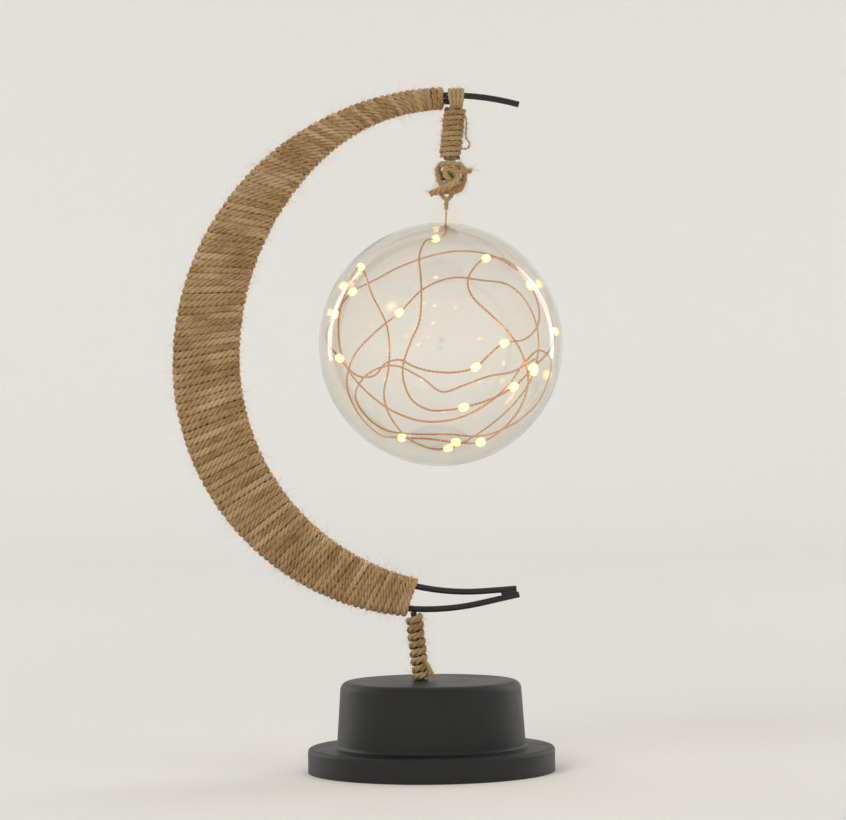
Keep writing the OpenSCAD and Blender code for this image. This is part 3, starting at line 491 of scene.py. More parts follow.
@dataclass(frozen=True)
class PalePlaster(Finish):
    """Matte pale plaster of the cove, which looks as bright far from the lamps as near them."""

    colour: str = "#e6e3de"
    wall: str = "#eceae6"
    glow: float = 0.33
    near: float = 0.25  # where the glow starts, in metres from the middle
    far: float = 3.05  # where it is full

    def surface(self, tree: bpy.types.NodeTree) -> bpy.types.NodeSocket:
        """Plain diffuse, to which the far parts add light where they are seen, mirrored or seen through.

        Args:
            tree: the material's node tree.

        Returns:
            The shader's output.
        """
        matte = add(
            tree, "ShaderNodeBsdfPrincipled", inputs={"Base Color": linear(self.colour), "Roughness": 0.9}
        )
        place = add(tree, "ShaderNodeTexCoord")
        away = add(tree, "ShaderNodeVectorMath", {"operation": "LENGTH"}, {0: place.outputs["Object"]})
        level = add(
            tree,
            "ShaderNodeMapRange",
            {"interpolation_type": "SMOOTHSTEP"},
            {
                "Value": away.outputs["Value"],
                "From Min": self.near,
                "From Max": self.far,
                "To Max": self.glow,
            },
        )
        ray = add(tree, "ShaderNodeLightPath")
        seen = ray.outputs["Is Camera Ray"]
        for name in ("Is Glossy Ray", "Is Transmission Ray"):
            either = add(tree, "ShaderNodeMath", {"operation": "MAXIMUM"}, {0: seen, 1: ray.outputs[name]})
            seen = either.outputs[0]
        strength = add(
            tree, "ShaderNodeMath", {"operation": "MULTIPLY"}, {0: seen, 1: level.outputs["Result"]}
        )
        light = add(
            tree,
            "ShaderNodeEmission",
            inputs={"Color": linear(self.wall), "Strength": strength.outputs[0]},
        )
        return add(
            tree, "ShaderNodeAddShader", inputs={0: matte.outputs["BSDF"], 1: light.outputs["Emission"]}
        ).outputs["Shader"]


TWINE = JuteTwine("three_ply_jute")
FIBRE = JuteFibre("loose_jute")
# Mild steel rod under satin black powder coat: near black, soft highlights over a slight orange peel.
BLACK_IRON = Coated("powder_coated_iron", "#1b1b1d", 0.42, grain=1.1, depth=0.05)
# ABS from a spark-eroded mould: deep black, dull, with a broad grey sheen where light grazes it. The real
# grain is about 0.1 mm, and it is drawn at 0.5 mm to show.
MATTE_ABS = Coated("moulded_abs", "#0f0f10", 0.48, grain=0.5, depth=0.035)
# Nylon of the switch: blacker and smoother than the base.
SWITCH_NYLON = Coated("switch_nylon", "#0c0c0d", 0.26, grain=0.8, depth=0.008)
# Printed ink on the rocker: flat off-white.
MARK_INK = Coated("white_ink", "#dcdcd8", 0.5, grain=0.4, depth=0.005)
# Enamelled copper: bright reddish metal under a clear coat.
COPPER = Coated("enamelled_copper", "#ebb480", 0.3, grain=0.6, depth=0.01, metallic=1.0, coat=0.3)
# Zinc-plated steel: pale grey, slightly cloudy.
ZINC = Coated("zinc_plate", "#b4b6b8", 0.36, grain=0.7, depth=0.01, metallic=1.0)
# Nickel-plated spring strip: warmer and shinier than zinc.
NICKEL = Coated("nickel_plate", "#c4c0b6", 0.24, grain=0.9, depth=0.006, metallic=1.0)
# Solder mask over glass-fibre laminate: glossy green.
BOARD = Coated("solder_mask", "#1e5c39", 0.3, grain=1.5, depth=0.02)
# Soft PVC over hook-up wire: plain red with a dull shine.
PVC = Coated("red_pvc", "#a31d1b", 0.45, grain=0.6, depth=0.01)
CLEAR = ClearStyrene("clear_polystyrene")
RESIN = GlowingResin("glowing_resin")
PHOSPHOR = LitPhosphor("lit_phosphor")


# ---------------------------------------------------------------- shapes


def unit(v: np.ndarray) -> np.ndarray:
    """Scales vectors, the last axis, to length 1."""
    return v / np.maximum(np.linalg.norm(v, axis=-1, keepdims=True), 1e-12)


def frames(path: np.ndarray, outward: np.ndarray) -> tuple[np.ndarray, np.ndarray]:
    """Finds the outward and sideways directions of a path.

    Args:
        path: the path's points.
        outward: roughly where the outside of the path lies, everywhere or for each point.

    Returns:
        For each point, the unit vector outward and the one across it, both square to the path.
    """
    tangent = unit(np.gradient(path, axis=-2))
    outward = np.broadcast_to(outward, path.shape)
    out = unit(outward - (outward * tangent).sum(-1, keepdims=True) * tangent)
    return out, np.cross(tangent, out)


def run_of(path: np.ndarray) -> np.ndarray:
    """Length along a path at each of its points."""
    return np.concatenate([[0.0], np.cumsum(np.linalg.norm(np.diff(path, axis=0), axis=1))])


def smooth(points: Sequence[Sequence[float]], step: float, cuts: int = 16) -> np.ndarray:
    """Draws a smooth curve through points and samples it evenly.

    Args:
        points: the points that it passes through.
        step: the distance between samples in mm.
        cuts: into how many parts each span is cut to measure it.

    Returns:
        The samples.
    """
    p = np.array(points, float)
    q = np.vstack([2 * p[0] - p[1], p, 2 * p[-1] - p[-2]])
    t = np.linspace(0, 1, cuts, endpoint=False)[:, None]
    parts = [
        0.5
        * (
            2 * b
            + (c - a) * t
            + (2 * a - 5 * b + 4 * c - d) * t**2
            + (3 * b - a - 3 * c + d) * t**3
        )
        for a, b, c, d in zip(q[:-3], q[1:-2], q[2:-1], q[3:], strict=True)
    ]
    fine = np.vstack([*parts, p[-1:]])
    run = run_of(fine)
    at = np.linspace(0, run[-1], max(4, round(run[-1] / step) + 1))
    return np.stack([np.interp(at, run, fine[:, k]) for k in range(3)], axis=1)


def upright(flat: np.ndarray) -> np.ndarray:
    """Lays points in the lamp's middle plane.

    Args:
        flat: the points as x and z.

    Returns:
        The points with all three axes.
    """
    points = np.zeros((*flat.shape[:-1], 3))
    points[..., [0, 2]] = flat
    return points


def leaned(p: np.ndarray, foot: Sequence[float], degrees: float) -> np.ndarray:
    """Turns points of a leaning part's own frame into the lamp's.

    Args:
        p: the points.
        foot: x and z of the own frame's origin.
        degrees: how far its upward axis leans towards +X.

    Returns:
        The points in the lamp's frame.
    """
    sin, cos = math.sin(math.radians(degrees)), math.cos(math.radians(degrees))
    x, y, z = p.T
    return np.stack([foot[0] + x * cos + z * sin, y, foot[1] - x * sin + z * cos], axis=1)


def coil(
    place: Callable[[np.ndarray], np.ndarray],
    turn: np.ndarray,
    reach: np.ndarray | float,
    height: np.ndarray,
    shift: float = 0.0,
) -> tuple[np.ndarray, np.ndarray]:
    """Winds round the upward axis of a part's own frame.

    Args:
        place: turns points of that frame into the lamp's.
        turn: the angle of each point.
        reach: its distance from the middle of the winding.
        height: its height.
        shift: how far the middle of the winding lies behind the axis.

    Returns:
        The points and their outward directions, in the lamp's frame.
    """
    way = np.stack([np.cos(turn), np.sin(turn), 0 * turn], axis=1)
    own = np.stack([0 * turn, shift + 0 * turn, height], axis=1) + np.reshape(reach, (-1, 1)) * way
    path = place(own)
    return path, place(own + way) - path


class Skin:
    """Collects tubes and makes one piece of them."""

    def __init__(self) -> None:
        """Starts without a point."""
        self.points: list[np.ndarray] = []
        self.faces: list[np.ndarray] = []
        self.lay: list[np.ndarray] = []
        self.count = 0

    def tubes(
        self, path: np.ndarray, out: np.ndarray, across: np.ndarray, radius: np.ndarray | float, sides: int
    ) -> None:
        """Adds several tubes of equal point count.

        Args:
            path: centre points, as tube, point, axis.
            out: each point's outward direction.
            across: each point's sideways direction, whose length widens the tube that way.
            radius: the radius at each point, or one radius.
            sides: how many sides the tubes have.
        """
        many, long = path.shape[:2]
        turn = np.arange(sides) * TAU / sides
        r = np.broadcast_to(np.asarray(radius, float), (many, long))[..., None, None]
        ring = path[:, :, None] + r * (
            np.cos(turn)[:, None] * out[:, :, None] + np.sin(turn)[:, None] * across[:, :, None]
        )
        index = self.count + np.arange(many * long * sides).reshape(many, long, sides)
        a, b = index[:, :-1], index[:, 1:]
        self.faces.append(
            np.stack([a, np.roll(a, -1, 2), np.roll(b, -1, 2), b], axis=-1).reshape(-1, 4)
        )
        run = np.cumsum(np.linalg.norm(np.diff(path, axis=1, prepend=path[:, :1]), axis=2), axis=1)
        u = np.stack([run[:, :-1], run[:, :-1], run[:, 1:], run[:, 1:]], axis=-1)[:, :, None]
        u = np.broadcast_to(u, (many, long - 1, sides, 4))
        width = TAU * np.mean(r) / sides
        v = width * (np.arange(sides)[:, None] + np.array([0, 1, 1, 0]))
        v = np.broadcast_to(v, u.shape)
        self.lay.append(np.stack([u, v], axis=-1).reshape(-1, 2))
        self.points.append(ring.reshape(-1, 3))
        self.count += many * long * sides

    def tube(
        self, path: np.ndarray, out: np.ndarray, across: np.ndarray, radius: np.ndarray | float, sides: int
    ) -> None:
        """Adds one tube, whose directions may be the same at every point.

        Args:
            path: its centre points.
            out: its outward direction or directions.
            across: its sideways direction or directions, whose length widens it that way.
            radius: the radius at each point, or one radius.
            sides: how many sides it has.
        """
        out, across = (np.broadcast_to(v, path.shape) for v in (out, across))
        self.tubes(path[None], out[None], across[None], radius, sides)

    def piece(
        self, name: str, finish: Finish, body: Body, slot: str, stands_for: Sequence[str] = ()
    ) -> None:
        """Makes the mesh and lets it ride.

        Args:
            name: the piece's name.
            finish: its material.
            body: the body that it rides on.
            slot: the record's material slot; not used.
            stands_for: the CAD nodes that it replaces.
        """
        points, faces = np.vstack(self.points) * MM, np.vstack(self.faces)
        mesh = bpy.data.meshes.new(name)
        mesh.vertices.add(len(points))
        mesh.vertices.foreach_set("co", points.astype(np.float32).ravel())
        mesh.loops.add(faces.size)
        mesh.loops.foreach_set("vertex_index", faces.astype(np.int32).ravel())
        mesh.polygons.add(len(faces))
        mesh.polygons.foreach_set("loop_start", np.arange(0, faces.size, 4, dtype=np.int32))
        mesh.update(calc_edges=True)
        lay = np.vstack(self.lay).astype(np.float32)
        mesh.uv_layers.new(name="lay").data.foreach_set("uv", lay.ravel())
        mesh.polygons.foreach_set("use_smooth", np.ones(len(faces), bool))
        mesh.materials.append(finish.make())
        made = bpy.data.objects.new(name, mesh)
        bpy.context.scene.collection.objects.link(made)
        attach(made, body.value)
        if stands_for:
            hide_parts(*stands_for)
        log.info("%s: %d faces on %s", name, len(faces), body.value)


@dataclass(frozen=True)
class Fuzz:
    """One kind of loose fibre on a twine."""

    count: int
    shortest: float = 1.6
    longest: float = 5.5
    stiff: float = 0.45  # how steeply they stand out
    stray: float = 0.45  # how unevenly they point
    round: float = 1.3  # how far round the twine from its outside they start, in radians
    radius: tuple[float, float] = (0.022, 0.045)  # the thinnest and the thickest

    # A fibre's thickness at each of its points, from root to tip
    TAPER = (1, 1, 0.9, 0.7, 0.15)


@dataclass(frozen=True)
class Twine:
    """A laid twine of plies that are drawn one by one."""

    thick: float
    lay: float  # length in mm of one turn of its plies
    wide: float = 1.0  # how much wider than thick it is pressed
    plies: int = 3
    sides: int = 6
    press: float = 1.08  # how much thicker the plies are than round ones that only touch
    root: float = 0.46  # where loose fibres start, as a share of the thickness from the middle

    # How thick the last two points of an end are, cut square or drawn out, and the radius that shuts it
    BLUNT = (0.75, 0.95)
    POINTED = (0.15, 0.7)
    SHUT = 0.004

    def along(
        self,
        skin: Skin,
        path: np.ndarray,
        outward: np.ndarray,
        blunt: bool = False,
        spread: np.ndarray | None = None,
    ) -> None:
        """Lays the twine's plies along a path.

        Args:
            skin: what the plies are added to.
            path: the twine's centre line.
            outward: its outside, everywhere or at each point.
            blunt: whether both ends are cut square, not drawn to a point.
            spread: how much wider than thick it is pressed at each point, where that changes.
        """
        out, across = frames(path, outward)
        across = across * (self.wide if spread is None else spread[:, None])
        run = run_of(path)
        ply = self.thick / 2 / (1 + 2 / math.sqrt(3)) * self.press
        reach = self.thick / 2 - ply
        radius = np.full(len(path), ply)
        ends = self.BLUNT if blunt else self.POINTED
        radius[[0, 1]] *= ends
        radius[[-1, -2]] *= ends
        radius = np.pad(radius, 1, constant_values=self.SHUT)
        for k in range(self.plies):
            turn = TAU * (run / self.lay + k / self.plies)
            line = path + reach * (np.sin(turn)[:, None] * out + np.cos(turn)[:, None] * across)
            closed = (np.pad(v, ((1, 1), (0, 0)), "edge") for v in (line, out, across))
            skin.tube(*closed, radius, self.sides)

    def fuzz(
        self, skin: Skin, path: np.ndarray, outward: np.ndarray, rng: np.random.Generator, *kinds: Fuzz
    ) -> None:
        """Adds loose fibres that stand out of the twine.

        Args:
            skin: what the fibres are added to.
            path: the twine's centre line.
            outward: its outside, everywhere or at each point.
            rng: the source of their places.
            kinds: the kinds of fibre.
        """
        out, across = frames(path, outward)
        tangent = unit(np.gradient(path, axis=0))
        for kind in kinds:
            one, three = (kind.count, 1), (kind.count, 3)
            at = rng.integers(1, len(path) - 1, kind.count)
            side = rng.uniform(-kind.round, kind.round, kind.count)[:, None]
            rise = np.cos(side) * out[at] + np.sin(side) * across[at]
            pressed = np.cos(side) * out[at] + self.wide * np.sin(side) * across[at]
            start = path[at] + self.thick * self.root * pressed
            way = rng.choice([-1.0, 1.0], kind.count)[:, None]
            steep = kind.stiff * rise * rng.uniform(0.3, 1.6, one)
            heading = unit(steep + way * tangent[at] + kind.stray * rng.normal(size=three))
            outside = (heading * rise).sum(1, keepdims=True)
            heading = unit(heading + np.where(outside < 0.05, 0.15 - outside, 0) * rise)
            more = kind.longest - kind.shortest
            long = rng.uniform(0, 1, one) ** 2 * more + kind.shortest
            bend = unit(rng.normal(size=three) + 0.6 * rise) * long * rng.uniform(0.2, 0.9, one)
            curl = unit(rng.normal(size=three)) * long * rng.uniform(0.0, 0.35, one)
            t = np.linspace(0, 1, len(kind.TAPER))[None, :, None]
            line = start[:, None] + heading[:, None] * long[:, None] * t + bend[:, None] * t**2
            line += curl[:, None] * (np.sin(t * 2.4 * math.pi) * t * 0.5)
            square = unit(np.cross(heading, rng.normal(size=three)))[:, None]
            first = np.broadcast_to(square, line.shape)
            second = np.broadcast_to(np.cross(heading[:, None], square), line.shape)
            skin.tubes(line, first, second, rng.uniform(*kind.radius, one) * np.array(kind.TAPER), 3)


class Bunch:
    """Collects a part's strands and their loose fibres."""

    def __init__(self, rng: np.random.Generator) -> None:
        """Starts empty, with the source of the fibres' places."""
        self.strands, self.hair, self.rng = Skin(), Skin(), rng

    def lay(
        self,
        twine: Twine,
        path: np.ndarray,
        outward: np.ndarray,
        *kinds: Fuzz,
        blunt: bool = False,
        fuzzy: np.ndarray | slice = slice(None),
    ) -> None:
        """Lays a twine, and lets fibres stand out of it.

        Args:
            twine: the twine.
            path: its centre line.
            outward: its outside at each point.
            kinds: its kinds of loose fibre.
            blunt: whether both ends are cut square.
            fuzzy: the points that have fibres, where not all do.
        """
        twine.along(self.strands, path, outward, blunt)
        twine.fuzz(self.hair, path[fuzzy], outward[fuzzy], self.rng, *kinds)

    def pieces(self, strands: str, hair: str, body: Body, stands_for: Sequence[str]) -> None:
        """Makes a piece of the strands and one of the fibres.

        Args:
            strands: the name of the first.
            hair: the name of the second.
            body: the body that both ride on.
            stands_for: the CAD nodes that the strands replace.
        """
        self.strands.piece(strands, TWINE, body, "jute_twine", stands_for)
        self.hair.piece(hair, FIBRE, body, "jute_twine")


# ---------------------------------------------------------------- crescent


@dataclass(frozen=True)
class CrescentForm:
    """The two wires of the crescent, with the sizes of the part's source."""

    base_h: float = 37.0
    stem_left: float = 3.7
    stem_lean: float = 6.2
    stem_l: float = 29.6
    wire_r: float = 1.25
    wire_gap: float = 0.05  # between the two wires where they lie together
    outer_upper_r: float = 110.2
    outer_lower_r: float = 100.9
    inner_upper_r: float = 115.7
    inner_lower_r: float = 96.4
    inner_sweep: float = 45.2
    weld_angle: float = 3.7
    width: float = 21.1
    rise: float = 2.5
    tip_angle: float = 12.2
    tip_l: float = 16.2
    tip_back: float = 0.6
    tip_gap: float = 2.7

    @property
    def weld(self) -> np.ndarray:
        """Finds where the stem meets the outer wire.

        Returns:
            The place as x and z.
        """
        lean = math.radians(self.stem_lean)
        foot = np.array([-self.stem_left, self.base_h])
        return foot + self.stem_l * np.array([-math.sin(lean), math.cos(lean)])

    @property
    def outer_left(self) -> np.ndarray:
        """Finds the outer wire's leftmost point.

        Returns:
            The point as x and z.
        """
        a = math.radians(self.weld_angle)
        middle = self.weld + self.outer_lower_r * np.array([math.sin(a), math.cos(a)])
        return middle - [self.outer_lower_r, 0]

    @property
    def outer_top(self) -> np.ndarray:
        """The middle of the outer wire's upper radius."""
        return self.outer_left + [self.outer_upper_r, 0]

    @property
    def inner_left(self) -> np.ndarray:
        """The inner wire's leftmost point."""
        return self.outer_left + [self.width, self.rise]

    def tips(self, back: np.ndarray) -> tuple[np.ndarray, np.ndarray]:
        """Points of the two wires' lower ends, which come together.

        Args:
            back: lengths back from the ends.

        Returns:
            Points of the outer wire and of the inner wire.
        """
        a = math.radians(self.tip_angle)
        ahead, above = np.array([math.cos(a), math.sin(a)]), np.array([-math.sin(a), math.cos(a)])
        outer = self.outer_left + [self.outer_lower_r, 0] - self.outer_lower_r * above + self.tip_l * ahead
        inner = outer - self.tip_back * ahead + self.tip_gap * above
        middle = self.inner_left + [self.inner_lower_r, 0]
        far = inner - middle
        b = math.atan2(far[0], -far[1]) - math.acos(self.inner_lower_r / float(np.linalg.norm(far)))
        return (
            outer - (back[:, None] + self.tip_back) * ahead,
            inner - back[:, None] * np.array([math.cos(b), math.sin(b)]),
        )

    def closing(self) -> tuple[np.ndarray, float]:
        """The inner wire's last arc, which closes on the outer wire.

        Returns:
            Its middle and its radius.
        """
        a = math.radians(self.inner_sweep)
        away = np.array([-math.cos(a), math.sin(a)])
        start = self.inner_left + [self.inner_upper_r, 0] + self.inner_upper_r * away
        limit = self.outer_upper_r - 2 * self.wire_r - self.wire_gap
        gap = self.outer_top - start
        r = (limit**2 - gap @ gap) / (2 * (limit + gap @ away))
        return start - r * away, r

    def outer(self, run: np.ndarray) -> np.ndarray:
        """Points of the outer wire at lengths above or below its leftmost point."""
        r = np.where(run < 0, self.outer_lower_r, self.outer_upper_r)
        return self.outer_left + np.stack([r * (1 - np.cos(run / r)), r * np.sin(run / r)], axis=-1)

    def inner(self, run: np.ndarray) -> np.ndarray:
        """Finds points of the inner wire.

        Args:
            run: lengths along it, above or below its leftmost point.

        Returns:
            The points as x and z.
        """
        r = np.where(run < 0, self.inner_lower_r, self.inner_upper_r)
        near = self.inner_left + np.stack([r * (1 - np.cos(run / r)), r * np.sin(run / r)], axis=-1)
        middle, close = self.closing()
        sweep = math.radians(self.inner_sweep)
        a = sweep + (run - self.inner_upper_r * sweep) / close
        far = middle + close * np.stack([-np.cos(a), np.sin(a)], axis=-1)
        return np.where((run > self.inner_upper_r * sweep)[..., None], far, near)


@dataclass
class CrescentTwine:
    """The one long strand that is wound over both wires of the crescent."""

    form: CrescentForm
    turns: int = 117
    crowding: float = 0.1  # how much closer than elsewhere the turns lie at both ends
    last_angle: float = 88.8  # where the winding ends, on both wires
    first_angle: float = 77.0  # where it starts on the inner wire
    first_gap: float = 2.7  # from the stem to its start on the outer wire
    last_outer_more: float = 1.6
    last_inner_less: float = 0.6
    fill: float = 1.2  # the strand's width over the distance between turns
    edge: float = 2.4  # half its height round a wire
    depth: float = 2.5  # half its depth from front to back
    step: float = 0.96
    uneven: float = 0.2  # how far a hand-laid turn strays along the wires
    twine: Twine = Twine(2.45, 7.6, wide=1.18)
    # Short fibres, long ones that lie close, and long ones that stand out
    fuzz: tuple[Fuzz, ...] = (Fuzz(5200), Fuzz(2600, 3.0, 8.0, 0.14), Fuzz(420, 4.0, 9.0, 0.8))

    def share(self, t: np.ndarray | float) -> np.ndarray | float:
        """How far along the wires the strand is, from 0 to 1, after that share of its turns."""
        return t - self.crowding * np.sin(TAU * t) / TAU

    def extent(self) -> tuple[tuple[float, float], tuple[float, float]]:
        """Finds where the winding lies.

        Returns:
            Its start and its length along the outer wire, and the same along the inner wire.
        """
        form, last, sweep = self.form, math.radians(self.last_angle), math.radians(self.form.inner_sweep)
        outer_start = math.radians(-90 + form.weld_angle) * form.outer_lower_r + self.first_gap
        outer_end = last * form.outer_upper_r + self.last_outer_more
        inner_start = -math.radians(self.first_angle) * form.inner_lower_r
        inner_end = form.inner_upper_r * sweep + (last - sweep) * form.closing()[1] - self.last_inner_less
        return (outer_start, outer_end - outer_start), (inner_start, inner_end - inner_start)

    def one_turn(self, turn: int, stray: float) -> tuple[np.ndarray, np.ndarray, np.ndarray]:
        """Goes round the outer wire, across in front, round the inner wire, and across behind.

        Args:
            turn: the turn's number, from 0 at the lower end.
            stray: how far its middle strays along the wires.

        Returns:
            Points, outward directions, and how much wider than thick the strand is, so that it fills its
            pitch.
        """
        (outer_start, outer_run), (inner_start, inner_run) = self.extent()
        middle = self.share((turn + 0.5) / self.turns)
        outer = self.form.outer(np.array(outer_start + outer_run * middle))
        inner = self.form.inner(np.array(inner_start + inner_run * middle))
        flat, bend = np.linalg.norm(inner - outer), math.pi * self.edge
        around = 2 * (flat + bend)
        q = np.arange(0, around, around / round(around / self.step))
        t = (turn + q / around) / self.turns
        drift = stray * np.sin(math.pi * (t * self.turns - turn))
        pace = (1 - self.crowding * np.cos(TAU * t)) * self.fill / self.turns / self.twine.thick
        outer = upright(self.form.outer(outer_start + outer_run * self.share(t) + drift))
        inner = upright(self.form.inner(inner_start + inner_run * self.share(t) + drift))
        between = inner - outer
        ahead = unit(between)
        q = q[:, None]
        stage = np.digitize(q, [bend, bend + flat, 2 * bend + flat])
        # Round the outer wire, in front, and round the inner wire. What is left is behind.
        stages = [stage == 0, stage == 1, stage == 2]
        angle = np.where(stages[0], q, q - bend - flat) / self.edge
        across = np.where(stages[1], q - bend, q - 2 * bend - flat) / flat
        near_outer = np.select(stages, [1 + 0 * across, 1 - across, 0 * across], across)[:, 0]
        spread = pace * (outer_run * near_outer + inner_run * (1 - near_outer))
        side, back = ahead * np.sin(angle), BACK * np.cos(angle)
        points = np.select(
            stages,
            [
                outer - side * self.edge + back * self.depth,
                outer + between * across - BACK * self.depth,
                inner + side * self.edge - back * self.depth,
            ],
            inner - between * across + BACK * self.depth,
        )
        outs = np.select(stages, [back - side, -BACK + 0 * side, side - back], BACK + 0 * side)
        return points, outs, spread

    def path(self, rng: np.random.Generator) -> tuple[np.ndarray, np.ndarray, np.ndarray]:
        """Joins all the turns.

        Args:
            rng: the source of the hand-wound unevenness.

        Returns:
            What one_turn returns, for the whole strand.
        """
        turns = [self.one_turn(k, self.uneven * math.sin(rng.uniform(0, TAU))) for k in range(self.turns)]
        points, outs, spreads = zip(*turns, strict=True)
        return np.vstack(points), np.vstack(outs), np.concatenate(spreads)

    def build(self, rng: np.random.Generator) -> None:
        """Makes the wound strand and its fuzz.

        Args:
            rng: the source of the unevenness and of the fibres' places.
        """
        path, out, spread = self.path(rng)
        bunch = Bunch(rng)
        self.twine.along(bunch.strands, path, out, spread=spread)
        self.twine.fuzz(bunch.hair, path, out, rng, *self.fuzz)
        bunch.pieces("crescent_twine", "crescent_fuzz", Body.STAND, ["crescent_wrap"])


@dataclass
class TipWeld:
    """The short weld that fills the wedge between the wires' lower ends."""

    form: CrescentForm
    first: float = 0.15  # from the wires' ends to its start
    length: float = 6.6
    depth: float = 1.12
    taper: float = 2.4  # length over which it thins out
    ripple: float = 5.1  # how fast its edge wavers, in radians a mm

    def build(self) -> None:
        """Makes the weld as a rib between the wires, which thins out backward and is shut at both ends."""
        back = np.linspace(self.first, self.length, 16)
        outer, inner = (upright(v) for v in self.form.tips(back))
        thin = np.clip((self.length - back) / self.taper, 0.25, 1) ** 0.5
        across = np.outer(self.depth * thin * (1 + 0.05 * np.sin(back * self.ripple)), BACK)
        ends = ((1, 1), (0, 0))
        path = np.pad((outer + inner) / 2, ends, "edge")
        out = np.pad((inner - outer) / 2, ends, "edge")
        out[[0, -1]] *= 0.02
        skin = Skin()
        skin.tube(path, out, np.pad(across, ends), 1.0, 16)
        skin.piece("tip_weld", BLACK_IRON, Body.STAND, "black_iron")


@dataclass
class StemTwine:
    """The twine wound up the stem, with its frayed lower end."""

    form: CrescentForm
    reach: float = 2.6  # from the middle of the winding to the middle of the twine
    shift: float = 0.225  # how far the lead under the winding pushes it back
    low: float = 1.95
    high: float = 26.6
    turns: float = 7.86
    start: float = 0.25  # where the first turn starts, as a share of a turn from +X
    flat: float = 0.5  # share of a turn that lies flat on the base before the rise
    sharp: float = 60.0  # how suddenly it starts to rise
    steps: int = 26  # points a turn
    twine: Twine = Twine(2.35, 7.5, wide=1.32)
    loose: Twine = Twine(1.7, 6.0)
    fuzz: Fuzz = Fuzz(420, 1.2, 4.5)
    loose_fuzz: Fuzz = Fuzz(40, 1.5, 3.5, 0.2)

    # The loose end, in the stem's own frame
    TAIL = ((1.9, -2.6, 7.6), (3.2, -2.9, 6.0), (4.1, -3.1, 3.6), (4.9, -3.2, 1.7), (5.7, -3.2, 1.0))

    def place(self, p: np.ndarray) -> np.ndarray:
        """Turns points of the stem's own frame into the lamp's."""
        return leaned(p, (-self.form.stem_left, self.form.base_h), -self.form.stem_lean)

    def build(self, rng: np.random.Generator) -> None:
        """Makes the winding, its loose end and its fuzz.

        Args:
            rng: the source of the fibres' places.
        """
        t = np.linspace(0, self.turns, int(self.turns * self.steps))
        rise = (t - self.flat) / (self.turns - self.flat)
        z = self.low + (self.high - self.low) * np.logaddexp(0, self.sharp * rise) / self.sharp
        path, out = coil(self.place, TAU * (t + self.start), self.reach, z, self.shift)
        tail = smooth(self.place(np.array(self.TAIL)), 0.5)
        bunch = Bunch(rng)
        bunch.lay(self.twine, path, out, self.fuzz)
        bunch.lay(self.loose, tail, np.broadcast_to(UP, tail.shape), self.loose_fuzz, blunt=True)
        bunch.pieces("stem_twine", "stem_fuzz", Body.STAND, ["stem_wrap"])


# ---------------------------------------------------------------- hanger


